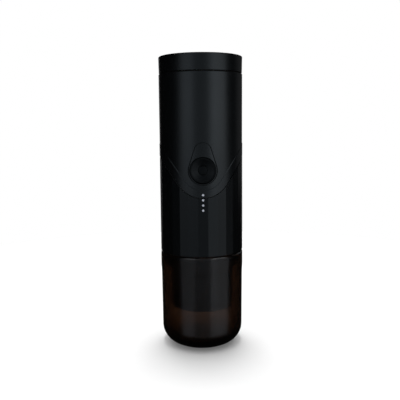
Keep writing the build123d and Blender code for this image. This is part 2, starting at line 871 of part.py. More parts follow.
board_screw_holes = [
    lying_rod(screw_radius + screw_fit, -frame_bore, overrun - board_front, x, z) for x, z in board_holes
]
board_back_y = board_thickness - board_front
head_room_y = board_back_y + screw_head + run_gap
board_head_rooms = [
    lying_rod(screw_head_radius + run_gap, -board_front, head_room_y, x, z) for x, z in board_holes
]
frame_front -= [*head_screw_holes, *boss_holes, *board_screw_holes, *board_head_rooms]
write(frame_front & front_half, "frame_front")

# Rear half: floor and roof for the cells, posts for the charge board and the port's window
frame_rear = frame_tube + foot_ring
for low in (battery_floor_z - frame_shelf, cell_roof_z):
    shelf = rod(frame_radius, low, low + frame_shelf)
    frame_rear += shelf - rod(mount_radius + run_gap, frame_foot_z, frame_top_z, 0, pump_y)
for x, z in boss_places:
    frame_rear += frame_boss(0, frame_boss_length, x, z)
charge_post_y = charge_board_back - charge_post_inset
for x in (-charge_post_side, charge_post_side):
    frame_rear += rod(charge_post_radius, frame_foot_z, charge_board_z, x, charge_post_y)
usb_half_width = usb_width / 2 + fit_gap
usb_window = block(
    (-usb_half_width, usb_half_width),
    (charge_post_y, frame_radius + overrun),
    (usb_low_z - fit_gap, usb_low_z + usb_height + fit_gap),
)
frame_rear -= [*head_screw_holes, *boss_holes, usb_window]
write(frame_rear & rear_half, "frame_rear")


def lying_screw(front, length, x, z):
    """Pan-head screw along Y whose head seats at the given front."""
    shank = lying_rod(screw_radius, front, front + length, x, z)
    return shank + lying_rod(screw_head_radius, front - screw_head, front, x, z)


frame_screws = [lying_screw(-frame_boss_length, screw_length, x, z) for x, z in boss_places]
write(Compound(frame_screws), "frame_screws")

# Control board with its switch and lights, screwed to the front half from behind
board = block(
    (-board_half_width, board_half_width), (-board_front, board_back_y), (board_low_z, board_top_z)
)
board -= [
    lying_rod(screw_radius + screw_fit, -board_front - overrun, board_back_y + overrun, x, z)
    for x, z in board_holes
]
write(board, "control_board")
board_screws = []
for x, z in board_holes:
    shank = lying_rod(screw_radius, board_back_y - board_screw_length, board_back_y, x, z)
    head = lying_rod(screw_head_radius, board_back_y, board_back_y + screw_head, x, z)
    board_screws.append(shank + head)
write(Compound(board_screws), "board_screws")
switch_front_y = -board_front - switch_height
switch = block(
    (-switch_size / 2, switch_size / 2),
    (switch_front_y, -board_front),
    (button_z - switch_size / 2, button_z + switch_size / 2),
)
switch -= lying_rod(
    switch_plunger_radius + slide_gap,
    switch_front_y - overrun,
    switch_front_y + switch_bore_depth,
    0,
    button_z,
)
write(switch, "tact_switch")
plunger_back_y = switch_front_y + switch_engaged
plunger_tip_y = plunger_back_y - switch_plunger_length
switch_plunger = lying_rod(switch_plunger_radius, plunger_tip_y, plunger_back_y, 0, button_z)
write(switch_plunger, "switch_plunger")

# Indicator lights: emitters on the board, and one guide with a peg up to each hole in the shells
led_front_y = -board_front - led_height
leds = [
    block(
        (-led_size / 2, led_size / 2), (led_front_y, -board_front), (z - led_size / 2, z + led_size / 2)
    )
    for z in light_heights()
]
write(Compound(leds), "indicator_leds")
guide_back_y = led_front_y - led_space
guide = block(
    (-guide_half_width, guide_half_width),
    (guide_back_y - guide_thickness, guide_back_y),
    (light_heights()[-1] - guide_margin, light_heights()[0] + guide_margin),
)
for z in light_heights():
    guide += lying_rod(light_radius, -body_radius - overrun, guide_back_y, 0, z)
guide &= rod(body_radius, shell_foot_z, shell_top_z)
write(guide, "light_guide")

# Control plate: teardrop inlay, flush with the shell, with a round hole for the button
plate = front_prism(teardrop(0), -body_radius - overrun, 0)
plate &= tube(body_radius, body_radius - plate_thickness, shell_foot_z, shell_top_z)
write(plate - button_hole, "control_plate")

# Button: dished disc with a small centre disc, and a flange behind the shell that keeps it in
dish_z = button_front - button_dish
disc_front = dish_z + button_disc_rise
button_back = button_flange_front - button_flange
rim_inner = button_radius - button_rim_width
groove_outer = button_disc_radius + button_disc_groove
dish_middle = ((rim_inner + groove_outer) / 2, dish_z + button_dish / 4)
button_outline = Curve() + [
    Polyline(
        (0, disc_front),
        (0, -plunger_tip_y),
        (button_recess_radius, -plunger_tip_y),
        (button_recess_radius, button_back),
        (button_flange_radius, button_back),
        (button_flange_radius, button_flange_front),
        (button_radius, button_flange_front),
        (button_radius, button_front - button_edge_round),
        (button_radius - button_edge_round, button_front),
        (rim_inner, button_front),
    ),
    ThreePointArc((rim_inner, button_front), dish_middle, (groove_outer, dish_z)),
    Polyline(
        (groove_outer, dish_z),
        (groove_outer, dish_z - button_disc_groove_sink),
        (button_disc_radius, dish_z - button_disc_groove_sink),
        (button_disc_radius, disc_front),
        (0, disc_front),
    ),
]
button = revolve(Plane.XZ * make_face(button_outline), Axis.Z)
write(Pos(0, 0, button_z) * Rot(90, 0, 0) * button, "button")

# Charge board with the socket at its back edge
charge_board = block(
    (-charge_board_half_width, charge_board_half_width),
    (charge_board_back - charge_board_depth, charge_board_back),
    (charge_board_z, usb_low_z),
)
write(charge_board, "charge_board")
usb_back_y = frame_radius - usb_sink
usb_top_z = usb_low_z + usb_height
usb = block(
    (-usb_width / 2, usb_width / 2), (usb_back_y - usb_length, usb_back_y), (usb_low_z, usb_top_z)
)
usb -= block(
    (usb_wall - usb_width / 2, usb_width / 2 - usb_wall),
    (usb_back_y - usb_length + usb_wall, usb_back_y + overrun),
    (usb_low_z + usb_wall, usb_top_z - usb_wall),
)
usb += block(
    (-usb_tongue_width / 2, usb_tongue_width / 2),
    (usb_back_y - usb_length, usb_back_y - usb_length + usb_tongue_length + usb_wall),
    (port_z - usb_tongue_thickness / 2, port_z + usb_tongue_thickness / 2),
)
write(usb, "usb_socket")

# Brew head: closes the shell's foot, feeds the shower screen and takes the holder's thread
seal_low_z = spigot_low_z + seal_rise
seal_top_z = seal_low_z + seal_height
head = turned(
    [
        (0, brew_face_z, 0),
        (spigot_bore, brew_face_z, 0),
        (spigot_bore, spigot_low_z, 0),
        (spigot_radius, spigot_low_z, 0),
        (spigot_radius, seal_low_z - fit_gap, 0),
        (spigot_radius - seal_sink, seal_low_z - fit_gap, 0),
        (spigot_radius - seal_sink, seal_top_z + fit_gap, 0),
        (spigot_radius, seal_top_z + fit_gap, 0),
        (spigot_radius, shell_foot_z, 0),
        (frame_radius, shell_foot_z, 0),
        (frame_radius, head_top_z, 0),
        (0, head_top_z, 0),
    ]
)
head_thread_z = spigot_low_z + head_thread_rise
screen_top_z = brew_face_z - screen_drop
head += rod(shower_boss_radius, screen_top_z, brew_face_z)
head += barb(head_top_z)
head += thread_ridges(spigot_bore, -thread_height, head_thread_z)
head -= waterway(brew_face_z, head_top_z + barb_length)
head_screw_tip_z = frame_foot_z + frame_flange - head_screw_length
head -= [
    rod(screw_radius + screw_fit, head_screw_tip_z, head_top_z + overrun, x, y)
    for x, y in head_screw_places
]
shower_screw_top_z = screen_top_z - screen_thickness + shower_screw_length
head -= rod(screw_radius + screw_fit, screen_top_z - overrun, shower_screw_top_z + fit_gap)
write(head, "brew_head")
head_screws = []
for x, y in head_screw_places:
    shank = rod(screw_radius, head_screw_tip_z, frame_foot_z + frame_flange, x, y)
    head_z = frame_foot_z + frame_flange
    head_screws.append(shank + rod(screw_head_radius, head_z, head_z + screw_head, x, y))
write(Compound(head_screws), "head_screws")
cup_seal = tube(cup_bore - run_gap, spigot_radius - seal_sink + fit_gap, seal_low_z, seal_top_z)
write(cup_seal, "cup_seal")
gasket_low_z = brew_face_z - brew_gasket_thickness
gasket_outer = basket_flange_radius + brew_gasket_margin
brew_gasket = tube(gasket_outer, gasket_outer - brew_gasket_width, gasket_low_z, brew_face_z)
write(brew_gasket, "brew_gasket")


def hole_rings(disc_radius, low, high):
    """Small holes through a disc, in rings round the centre, which stays clear for a screw."""
    holes = []
    pitch = screen_hole_pitch
    rings = int((disc_radius - screen_hole_margin) / pitch)
    for ring in range(1, rings + 1):
        for step in range(6 * ring):
            turn = 2 * pi * step / (6 * ring)
            x = ring * pitch * cos(turn)
            y = ring * pitch * sin(turn)
            holes.append(rod(screen_hole_radius, low - overrun, high + overrun, x, y))
    return holes


# Shower screen: pierced steel disc with a short upturned rim, held by one screw in the middle
screen_low_z = screen_top_z - screen_thickness
screen = rod(screen_radius, screen_low_z, screen_top_z)
screen += tube(screen_radius, screen_radius - screen_rim, screen_top_z, brew_face_z - fit_gap)
screen -= rod(screw_radius + fit_gap, screen_low_z - overrun, brew_face_z)
screen -= hole_rings(screen_radius, screen_low_z, screen_top_z)
write(screen, "shower_screen")
shower_screw = rod(screw_radius, screen_low_z, shower_screw_top_z)
shower_screw += rod(shower_screw_head_radius, screen_low_z - shower_screw_head, screen_low_z)
write(shower_screw, "shower_screw")

# Filter basket: pierced steel cup whose flange is pressed against the brew gasket
basket_top_z = gasket_low_z - run_gap
basket_flange_z = basket_top_z - basket_flange
basket_low_z = basket_top_z - basket_depth
basket = turned(
    [
        (0, basket_low_z, 0),
        (basket_radius, basket_low_z, basket_round),
        (basket_radius, basket_flange_z, 0),
        (basket_flange_radius, basket_flange_z, 0),
        (basket_flange_radius, basket_top_z, 0),
        (basket_inner, basket_top_z, 0),
        (basket_inner, basket_low_z + basket_wall, basket_round - basket_wall),
        (0, basket_low_z + basket_wall, 0),
    ]
)
basket -= hole_rings(basket_inner, basket_low_z, basket_low_z + basket_wall)
write(basket, "filter_basket")

# Coffee holder: threaded pot that carries the basket, with a funnel, a spout and a skirt
holder_top_z = basket_flange_z - run_gap
holder_foot_z = holder_top_z - holder_height
funnel_top_z = holder_top_z - holder_bore_depth
funnel_low_z = funnel_top_z - funnel_drop
spout_low_z = funnel_low_z - spout_length
spout_radius = spout_bore + spout_wall
skirt_bore = holder_radius - holder_skirt_wall
holder = turned(
    [
        (spout_bore, spout_low_z, 0),
        (spout_radius, spout_low_z, 0),
        (spout_radius, funnel_low_z - funnel_wall, 0),
        (skirt_bore, funnel_top_z - funnel_wall, 0),
        (skirt_bore, holder_foot_z, 0),
        (holder_radius, holder_foot_z, holder_edge_round),
        (holder_radius, holder_top_z, 0),
        (holder_bore, holder_top_z, 0),
        (holder_bore, funnel_top_z, 0),
        (spout_bore, funnel_low_z, 0),
    ]
)
holder += thread_ridges(holder_radius, thread_height, head_thread_z + thread_pitch / 2)
write(holder, "coffee_holder")

# Wires: round leads on straight runs joined by arcs


def wire(points):
    """Round lead along a bent route."""
    path = FilletPolyline(*points, radius=wire_bend)
    start = Plane(path @ 0, z_dir=path % 0)
    return sweep(start * Circle(wire_radius), path)


wires = []
for index in range(2):
    shift = index * wire_pitch
    charge_y = charge_board_back - charge_board_depth + charge_wire_inset
    climb_z = usb_low_z + charge_wire_climb
    front_y = -side_wire_front - shift
    end_z = board_low_z + charge_wire_end_rise + shift
    wires.append(
        wire(
            [
                (charge_wire_x + shift, charge_y, usb_low_z),
                (charge_wire_x + shift, charge_y, climb_z),
                (side_wire_x + shift, side_wire_back, climb_z),
                (side_wire_x + shift, front_y, climb_z),
                (side_wire_x + shift, front_y, end_z),
                (charge_wire_end_x + shift, front_y, end_z),
                (charge_wire_end_x + shift, board_back_y, end_z),
            ]
        )
    )
for side in (-1, 1):
    heater_wire_y = board_back_y + heater_wire_out
    wires.append(
        wire(
            [
                (side * heater_wire_x, board_back_y, board_top_z - heater_wire_drop),
                (side * heater_wire_x, heater_wire_y, board_top_z - heater_wire_drop),
                (side * heater_wire_x, heater_wire_y, heater_low_z),
            ]
        )
    )
write(Compound(wires), "wiring")
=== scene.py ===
import json
import math

import bmesh
import bpy
from mathutils import Matrix, Vector


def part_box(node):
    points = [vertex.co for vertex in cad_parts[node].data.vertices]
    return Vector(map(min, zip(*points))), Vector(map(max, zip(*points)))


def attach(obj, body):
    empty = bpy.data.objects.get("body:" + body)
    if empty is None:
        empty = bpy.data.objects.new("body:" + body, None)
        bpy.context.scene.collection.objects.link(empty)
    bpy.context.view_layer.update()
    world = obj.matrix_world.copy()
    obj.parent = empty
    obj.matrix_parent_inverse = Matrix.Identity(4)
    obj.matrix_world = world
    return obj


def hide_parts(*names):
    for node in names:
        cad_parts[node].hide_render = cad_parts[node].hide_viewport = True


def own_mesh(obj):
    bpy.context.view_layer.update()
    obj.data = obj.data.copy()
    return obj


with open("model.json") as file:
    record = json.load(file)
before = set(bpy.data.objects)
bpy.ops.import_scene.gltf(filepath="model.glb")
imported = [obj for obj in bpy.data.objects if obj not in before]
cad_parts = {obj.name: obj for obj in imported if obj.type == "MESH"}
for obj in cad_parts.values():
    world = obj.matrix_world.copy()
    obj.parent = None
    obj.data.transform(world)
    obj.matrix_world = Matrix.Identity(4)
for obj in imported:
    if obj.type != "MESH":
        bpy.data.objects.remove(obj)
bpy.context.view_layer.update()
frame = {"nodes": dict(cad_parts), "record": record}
nodes = frame["nodes"]
scene = bpy.context.scene

# Inner frame: two half tubes of grey glass-filled nylon that clip round everything inside.
# Moulded, with a fine spark-eroded grain, and held together by four screws.
MM = 0.001


def node_group(name, inputs, outputs):
    """Empty shader group with named sockets, and its two ends."""
    group = bpy.data.node_groups.new(name, "ShaderNodeTree")
    for label, kind, value in inputs:
        socket = group.interface.new_socket(label, in_out="INPUT", socket_type=kind)
        socket.default_value = value
    for label, kind in outputs:
        group.interface.new_socket(label, in_out="OUTPUT", socket_type=kind)
    start = group.nodes.new("NodeGroupInput")
    end = group.nodes.new("NodeGroupOutput")
    return group, start, end


def add_node(tree, kind, links=(), **values):
    """New node with its settings, and its inputs linked or filled by name or number."""
    made = tree.nodes.new(kind)
    for key, value in values.items():
        setattr(made, key, value)
    for key, value in dict(links).items():
        if isinstance(value, bpy.types.NodeSocket):
            tree.links.new(value, made.inputs[key])
        else:
            made.inputs[key].default_value = value
    return made


def noise(tree, place, scale, detail=2.0, roughness=0.5):
    """Value of a noise texture at a place."""
    made = add_node(
        tree,
        "ShaderNodeTexNoise",
        {"Vector": place, "Scale": scale, "Detail": detail, "Roughness": roughness},
    )
    return made.outputs["Fac"]


def remap(tree, value, low, high, source=(0.0, 1.0), curve="LINEAR"):
    """Value from one range, spread between two others."""
    made = add_node(
        tree,
        "ShaderNodeMapRange",
        {"Value": value, "From Min": source[0], "From Max": source[1], "To Min": low, "To Max": high},
        interpolation_type=curve,
    )
    return made.outputs["Result"]


# Moulded grain: pits of a textured tool, with a slow drift in tone and gloss
grain_group, grain_in, grain_out = node_group(
    "moulded_grain",
    [
        ("Tone", "NodeSocketColor", (0.02, 0.02, 0.02, 1)),
        ("Tone drift", "NodeSocketFloat", 0.15),
        ("Gloss low", "NodeSocketFloat", 0.35),
        ("Gloss high", "NodeSocketFloat", 0.45),
        ("Pits per metre", "NodeSocketFloat", 4000.0),
        ("Drift per metre", "NodeSocketFloat", 60.0),
    ],
    [("Colour", "NodeSocketColor"), ("Roughness", "NodeSocketFloat"), ("Height", "NodeSocketFloat")],
)
place = add_node(grain_group, "ShaderNodeTexCoord").outputs["Object"]
pits = noise(grain_group, place, grain_in.outputs["Pits per metre"], 3.0, 0.6)
drift = noise(grain_group, place, grain_in.outputs["Drift per metre"], 4.0, 0.55)
swing = {0: 1.0, 1: grain_in.outputs["Tone drift"]}
darkest = add_node(grain_group, "ShaderNodeMath", swing, operation="SUBTRACT")
lightest = add_node(grain_group, "ShaderNodeMath", swing, operation="ADD")
shade = remap(grain_group, drift, darkest.outputs[0], lightest.outputs[0])
tinted = add_node(
    grain_group, "ShaderNodeVectorMath", {0: grain_in.outputs["Tone"], "Scale": shade}, operation="SCALE"
)
gloss_mix = add_node(grain_group, "ShaderNodeMath", {0: pits, 1: drift}, operation="MULTIPLY")
GRAIN_SPAN = (0.1, 0.4)
gloss = remap(
    grain_group,
    gloss_mix.outputs[0],
    grain_in.outputs["Gloss low"],
    grain_in.outputs["Gloss high"],
    GRAIN_SPAN,
)
grain_group.links.new(tinted.outputs[0], grain_out.inputs["Colour"])
grain_group.links.new(gloss, grain_out.inputs["Roughness"])
grain_group.links.new(pits, grain_out.inputs["Height"])


def new_material(name):
    """Material with nothing but its output and a principled shader."""
    material = bpy.data.materials.new(name)
    material.use_nodes = True
    tree = material.node_tree
    shader = tree.nodes["Principled BSDF"]
    return material, tree, shader


def add_bump(tree, shader, height, distance):
    """Bump from a height, given in metres of depth."""
    bump = add_node(tree, "ShaderNodeBump", {"Height": height, "Strength": 1.0, "Distance": distance})
    tree.links.new(bump.outputs["Normal"], shader.inputs["Normal"])


def moulded(
    name,
    tone,
    gloss=(0.4, 0.5),
    drift=0.15,
    pits=4000.0,
    depth=0.01 * MM,
    specular=0.5,
    metallic=0.0,
    sheen=None,
):
    """Moulded plastic, rubber or cast metal: one tone with a fine grain."""
    material, tree, shader = new_material(name)
    grain = add_node(tree, "ShaderNodeGroup", node_tree=grain_group)
    grain.inputs["Tone"].default_value = (*tone, 1)
    grain.inputs["Tone drift"].default_value = drift
    grain.inputs["Gloss low"].default_value = gloss[0]
    grain.inputs["Gloss high"].default_value = gloss[1]
    grain.inputs["Pits per metre"].default_value = pits
    tree.links.new(grain.outputs["Colour"], shader.inputs["Base Color"])
    tree.links.new(grain.outputs["Roughness"], shader.inputs["Roughness"])
    add_bump(tree, shader, grain.outputs["Height"], depth)
    shader.inputs["Specular IOR Level"].default_value = specular
    shader.inputs["Metallic"].default_value = metallic
    if sheen:
        shader.inputs["Specular Tint"].default_value = (*sheen, 1)
    return material


def dress(material, *names):
    """Gives CAD nodes their finish."""
    for name in names:
        slots = nodes[name].data.materials
        slots.clear()
        slots.append(material)


frame_nylon = moulded("frame_nylon", (0.10, 0.10, 0.11), gloss=(0.45, 0.6))
dress(frame_nylon, "frame_front", "frame_rear")

# Pump: a white nylon block and bobbin round a brass tube, with an enamelled copper winding.
# A zinc-plated yoke closes the coil, and two rubber rings hold the pump in the frame.
pump_nylon = moulded("pump_nylon", (0.62, 0.61, 0.57), gloss=(0.35, 0.5), drift=0.06)
dress(pump_nylon, "pump_block", "pump_inlet", "pump_bobbin", "switch_plunger")
machined_brass = moulded("machined_brass", (0.70, 0.50, 0.22), gloss=(0.22, 0.34), pits=2500.0, metallic=1.0)
dress(machined_brass, "pump_tube", "pump_outlet", "tank_outlet")
zinc_plate = moulded("zinc_plate", (0.52, 0.53, 0.54), gloss=(0.32, 0.5), drift=0.2, metallic=1.0)
dress(zinc_plate, "pump_yoke", "yoke_plate")
soft_rubber = moulded("soft_rubber", (0.006, 0.006, 0.0065), gloss=(0.5, 0.65), pits=6000.0, specular=0.3)
dress(soft_rubber, "pump_mounts", "cup_seal")

# Copper winding: enamelled round wire, wound on the bobbin in close turns.
# Its bump runs in rings round the pump, and its tone drifts with the enamel.
TURNS_PER_METRE = 700.0
winding, tree, shader = new_material("copper_winding")
place = add_node(tree, "ShaderNodeTexCoord").outputs["Object"]
turns = add_node(
    tree,
    "ShaderNodeTexWave",
    {"Vector": place, "Scale": TURNS_PER_METRE, "Distortion": 0.4},
    bands_direction="Z",
)
tone = add_node(
    tree,
    "ShaderNodeMix",
    {"Factor": noise(tree, place, 300.0), 6: (0.42, 0.13, 0.05, 1), 7: (0.60, 0.24, 0.10, 1)},
    data_type="RGBA",
)
tree.links.new(tone.outputs[2], shader.inputs["Base Color"])
shader.inputs["Metallic"].default_value = 1.0
shader.inputs["Roughness"].default_value = 0.3
add_bump(tree, shader, turns.outputs["Fac"], 0.1 * MM)
dress(winding, "pump_coil")

# Steel pieces: tank, plunger, screens and screws, drawn or turned from stainless steel.
# Fine brush marks run round them; ball, links and socket are brighter, and the heater is cast.
brush_group, brush_in, brush_out = node_group(
    "brush_marks",
    [
        ("Marks per metre", "NodeSocketFloat", 2500.0),
        ("Gloss low", "NodeSocketFloat", 0.2),
        ("Gloss high", "NodeSocketFloat", 0.4),
    ],
    [("Roughness", "NodeSocketFloat"), ("Height", "NodeSocketFloat"), ("Shade", "NodeSocketFloat")],
)
place = add_node(brush_group, "ShaderNodeTexCoord").outputs["Object"]
flattened = add_node(brush_group, "ShaderNodeMapping", {"Vector": place, "Scale": (0.05, 0.05, 1.0)})
marks = noise(brush_group, flattened.outputs[0], brush_in.outputs["Marks per metre"], 4.0, 0.65)
BRUSH_SPAN = (0.3, 0.7)
gloss = remap(brush_group, marks, brush_in.outputs["Gloss low"], brush_in.outputs["Gloss high"], BRUSH_SPAN)
brush_group.links.new(gloss, brush_out.inputs["Roughness"])
brush_group.links.new(marks, brush_out.inputs["Height"])
brush_group.links.new(remap(brush_group, marks, 0.8, 1.1), brush_out.inputs["Shade"])


def brushed(name, tone, gloss=(0.2, 0.4), marks=2500.0):
    """Bright metal with fine marks round the axis."""
    material, tree, shader = new_material(name)
    brush = add_node(tree, "ShaderNodeGroup", node_tree=brush_group)
    brush.inputs["Marks per metre"].default_value = marks
    brush.inputs["Gloss low"].default_value = gloss[0]
    brush.inputs["Gloss high"].default_value = gloss[1]
    shade = brush.outputs["Shade"]
    shaded = add_node(tree, "ShaderNodeVectorMath", {0: tone, "Scale": shade}, operation="SCALE")
    tree.links.new(shaded.outputs[0], shader.inputs["Base Color"])
    tree.links.new(brush.outputs["Roughness"], shader.inputs["Roughness"])
    shader.inputs["Metallic"].default_value = 1.0
    add_bump(tree, shader, brush.outputs["Height"], 0.006 * MM)
    return material


stainless = brushed("stainless", (0.60, 0.60, 0.59))
dress(stainless, "water_tank", "temperature_probe", "pump_plunger", "shower_screen", "filter_basket")
dress(stainless, "frame_screws", "board_screws", "head_screws", "shower_screw")
bright_steel = brushed("bright_steel", (0.68, 0.68, 0.68), gloss=(0.06, 0.14))
dress(bright_steel, "valve_ball", "cell_links", "usb_socket")
cast_heater = moulded(
    "cast_heater", (0.60, 0.60, 0.59), gloss=(0.4, 0.6), pits=1500.0, depth=0.03 * MM, metallic=1.0
)
dress(cast_heater, "tank_heater")

# Springs of the pump: coils of round stainless wire, one above the plunger and one under the valve's ball.
# Each stands between a fixed seat and a moving face; the coil is fixed to the housing and keeps its rest
# length.
SPRING_TURNS = 4
TURN_STEPS = 32
WIRE_SIDES = 12
PUMP_WIRE = 0.8 * MM
VALVE_WIRE = 0.35 * MM


def finish_mesh(bm, name, crease=30.0):
    """Mesh object with smooth faces and crisp edges above an angle in degrees."""
    mesh = bpy.data.meshes.new(name)
    bm.to_mesh(mesh)
    bm.free()
    mesh.shade_smooth()
    mesh.set_sharp_from_angle(angle=math.radians(crease))
    made = bpy.data.objects.new(name, mesh)
    scene.collection.objects.link(made)
    return made


def coil(node, wire, name):
    """Round wire wound about a spring's upright axis, as tall and wide as the spring."""
    low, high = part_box(node)
    reach = (high.x - low.x - wire) / 2
    steps = SPRING_TURNS * TURN_STEPS
    rise = (high.z - low.z - wire) / steps
    lean = math.atan2(rise * TURN_STEPS, 2 * math.pi * reach)
    bm = bmesh.new()
    section = Matrix.Translation((reach, 0, low.z + wire / 2)) @ Matrix.Rotation(lean - math.pi / 2, 4, "X")
    bmesh.ops.create_circle(bm, segments=WIRE_SIDES, radius=wire / 2, matrix=section)
    bmesh.ops.spin(
        bm,
        geom=bm.verts[:] + bm.edges[:],
        cent=(0, 0, 0),
        axis=(0, 0, 1),
        dvec=(0, 0, rise),
        angle=2 * math.pi * SPRING_TURNS,
        steps=steps,
    )
    bmesh.ops.holes_fill(bm, edges=bm.edges, sides=0)
    bmesh.ops.recalc_face_normals(bm, faces=bm.faces)
    bmesh.ops.translate(bm, vec=(0, (low.y + high.y) / 2, 0), verts=bm.verts)
    return finish_mesh(bm, name)


for node, wire, joint_name in (
    ("pump_spring", PUMP_WIRE, "plunger_stroke"),
    ("valve_spring", VALVE_WIRE, "valve_lift"),
):
    spring = coil(node, wire, f"{node}_coil")
    spring.data.materials.append(stainless)
    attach(spring, "housing")
    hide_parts(node)
    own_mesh(spring)

# Battery cells: standard round steel cans in blue shrink wrap, with bare ends.
# Three stand side by side in an arc at the back of the frame, joined by thin welded links.
BARE_FOOT = 0.8 * MM
BARE_CAP = 1.4 * MM
cell_wrap, tree, shader = new_material("cell_wrap")
place = add_node(tree, "ShaderNodeTexCoord").outputs["Object"]
level = add_node(tree, "ShaderNodeSeparateXYZ", {0: place}).outputs["Z"]
cell_low, cell_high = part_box("battery_cell_1")
above = add_node(tree, "ShaderNodeMath", {0: level, 1: cell_low.z + BARE_FOOT}, operation="GREATER_THAN")
below = add_node(tree, "ShaderNodeMath", {0: level, 1: cell_high.z - BARE_CAP}, operation="LESS_THAN")
wrapped = add_node(tree, "ShaderNodeMath", {0: above.outputs[0], 1: below.outputs[0]}, operation="MULTIPLY")
wrinkles = noise(tree, place, 500.0, 3.0)
tone = add_node(
    tree,
    "ShaderNodeMix",
    {"Factor": wrapped.outputs[0], 6: (0.55, 0.55, 0.54, 1), 7: (0.02, 0.09, 0.30, 1)},
    data_type="RGBA",
)
bare = add_node(tree, "ShaderNodeMath", {0: 1.0, 1: wrapped.outputs[0]}, operation="SUBTRACT")
tree.links.new(tone.outputs[2], shader.inputs["Base Color"])
tree.links.new(bare.outputs[0], shader.inputs["Metallic"])
tree.links.new(remap(tree, wrinkles, 0.25, 0.4), shader.inputs["Roughness"])
add_bump(tree, shader, wrinkles, 0.04 * MM)
dress(cell_wrap, "battery_cell_1", "battery_cell_2", "battery_cell_3")

# Boards and wiring: green solder mask over glass fibre, black moulded parts, red silicone leads.
# The control board is screwed to the frame, and the charge board stands on two posts of it.
# Two leads are soldered between the boards, and two more run up to the heater.
solder_mask = moulded("solder_mask", (0.015, 0.12, 0.05), gloss=(0.2, 0.35), drift=0.25, pits=1800.0)
dress(solder_mask, "control_board", "charge_board")
component_black = moulded("component_black", (0.012, 0.012, 0.013), gloss=(0.4, 0.55))
dress(component_black, "tact_switch", "thermal_cutout")
led_phosphor = moulded("led_phosphor", (0.75, 0.68, 0.35), gloss=(0.25, 0.35), drift=0.05)
dress(led_phosphor, "indicator_leds")
red_lead = moulded("red_lead", (0.38, 0.015, 0.015), gloss=(0.4, 0.5), drift=0.1)
dress(red_lead, "wiring")

# Silicone: gaskets and hoses in milky translucent silicone, a little dusty to the touch.
# The gaskets are moulded rings pressed between two pieces, and the hoses are pushed over barbs.
silicone = moulded("silicone", (0.66, 0.65, 0.61), gloss=(0.35, 0.5), drift=0.05)
milky = silicone.node_tree.nodes["Principled BSDF"]
milky.inputs["Subsurface Weight"].default_value = 0.2
milky.inputs["Subsurface Scale"].default_value = 2 * MM
dress(silicone, "suction_hose", "pressure_hose", "tank_gasket", "lid_gasket", "brew_gasket")

# Brew head and inner lid plug: black glass-filled nylon, turned smooth where the seals run.
# The tank's collar is given a near-black matt tone as painted shade, so that the groove under the lid stays
# dark.
brew_nylon = moulded("brew_nylon", (0.010, 0.010, 0.011), gloss=(0.38, 0.5))
dress(brew_nylon, "brew_head", "lid_plug")
# painted shade: the collar's tone and low specular stand in for the shadow in the groove
collar_black = moulded("collar_black", (0.002, 0.002, 0.002), gloss=(0.6, 0.7), specular=0.12)
dress(collar_black, "tank_collar")

# Coffee holder: black moulded pot that screws into the brew head, seen dimly through the cup.
# It is plain nylon as it leaves the mould, with a slight satin grain.
holder_black = moulded("holder_black", (0.004, 0.0045, 0.005), gloss=(0.4, 0.5), specular=0.3)
dress(holder_black, "coffee_holder")

# Upper shell: one smooth black ABS tube, moulded with a raised U-shaped band at its lower edge.
# Its satin finish is painted, and a pocket in front takes the control plate.
BODY_RADIUS = 34.9 * MM
SHELL_BORE = 32.7 * MM
BAND_RADIUS = 35.15 * MM
SHELL_TOP = 230.05 * MM
BUTTON_HEIGHT = 152.4 * MM
BAND_CENTRE = 154.0 * MM
BAND_LOW_ARC = 23.6 * MM
BAND_TOP_ARC = 17.8 * MM
FLANK_LEAN = math.radians(55)
ROUND_STEPS = 256
MERGE_DISTANCE = 0.0001 * MM
SHELL_CREASE = 40.0


def band_line(x, arc):
    """Height of the U line at a distance from the middle: an arc with straight flanks."""
    turn = arc * math.sin(FLANK_LEAN)
    if abs(x) <= turn:
        return BAND_CENTRE - math.sqrt(arc * arc - x * x)
    return BAND_CENTRE - arc * math.cos(FLANK_LEAN) + (abs(x) - turn) * math.tan(FLANK_LEAN)


def value_at(given, place):
    """A plain number, or what a function gives at that place."""
    return given(place) if callable(given) else given


def lofted(steps, loops, locate, closed=True):
    """Wall through a row of loops; locate finds a point from its turn and the loop's two values."""
    bm = bmesh.new()
    turn = bm.verts.layers.float.new("turn")
    ring = bmesh.ops.create_circle(bm, segments=steps, radius=1.0)["verts"]
    for vert in ring:
        vert[turn] = math.atan2(vert.co.y, vert.co.x)
        vert.co = locate(vert[turn], *loops[0])
    edges = bm.edges[:]
    for loop in loops[1:] + (loops[:1] if closed else []):
        grown = bmesh.ops.extrude_edge_only(bm, edges=edges)["geom"]
        ring = {part for part in grown if isinstance(part, bmesh.types.BMVert)}
        grown_edges = [part for part in grown if isinstance(part, bmesh.types.BMEdge)]
        edges = [edge for edge in grown_edges if ring.issuperset(edge.verts)]
        for vert in ring:
            vert.co = locate(vert[turn], *loop)
    if closed:
        bmesh.ops.remove_doubles(bm, verts=bm.verts, dist=MERGE_DISTANCE)
    else:
        bmesh.ops.holes_fill(bm, edges=bm.edges, sides=0)
    bmesh.ops.recalc_face_normals(bm, faces=bm.faces)
    return bm


def round_axis(turn, radius, height):
    """Point of a loop round the body, whose radius may follow the turn and height the distance sideways."""
    reach = value_at(radius, turn)
    x = reach * math.cos(turn)
    return (x, reach * math.sin(turn), value_at(height, x))


def ring_shell(steps, rings):
    """Closed wall through rings round the body."""
    return lofted(steps, rings, round_axis)


def carve(piece, cutter, operation="DIFFERENCE"):
    """Boolean of two pieces, applied to the first; the second is removed."""
    modifier = piece.modifiers.new("carve", "BOOLEAN")
    modifier.operation = operation
    modifier.object = cutter
    modifier.solver = "EXACT"
    bpy.context.view_layer.update()
    carved = bpy.data.meshes.new_from_object(piece.evaluated_get(bpy.context.evaluated_depsgraph_get()))
    piece.modifiers.clear()
    old = piece.data
    piece.data = carved
    carved.name = piece.name
    bpy.data.meshes.remove(old)
    bpy.data.meshes.remove(cutter.data)


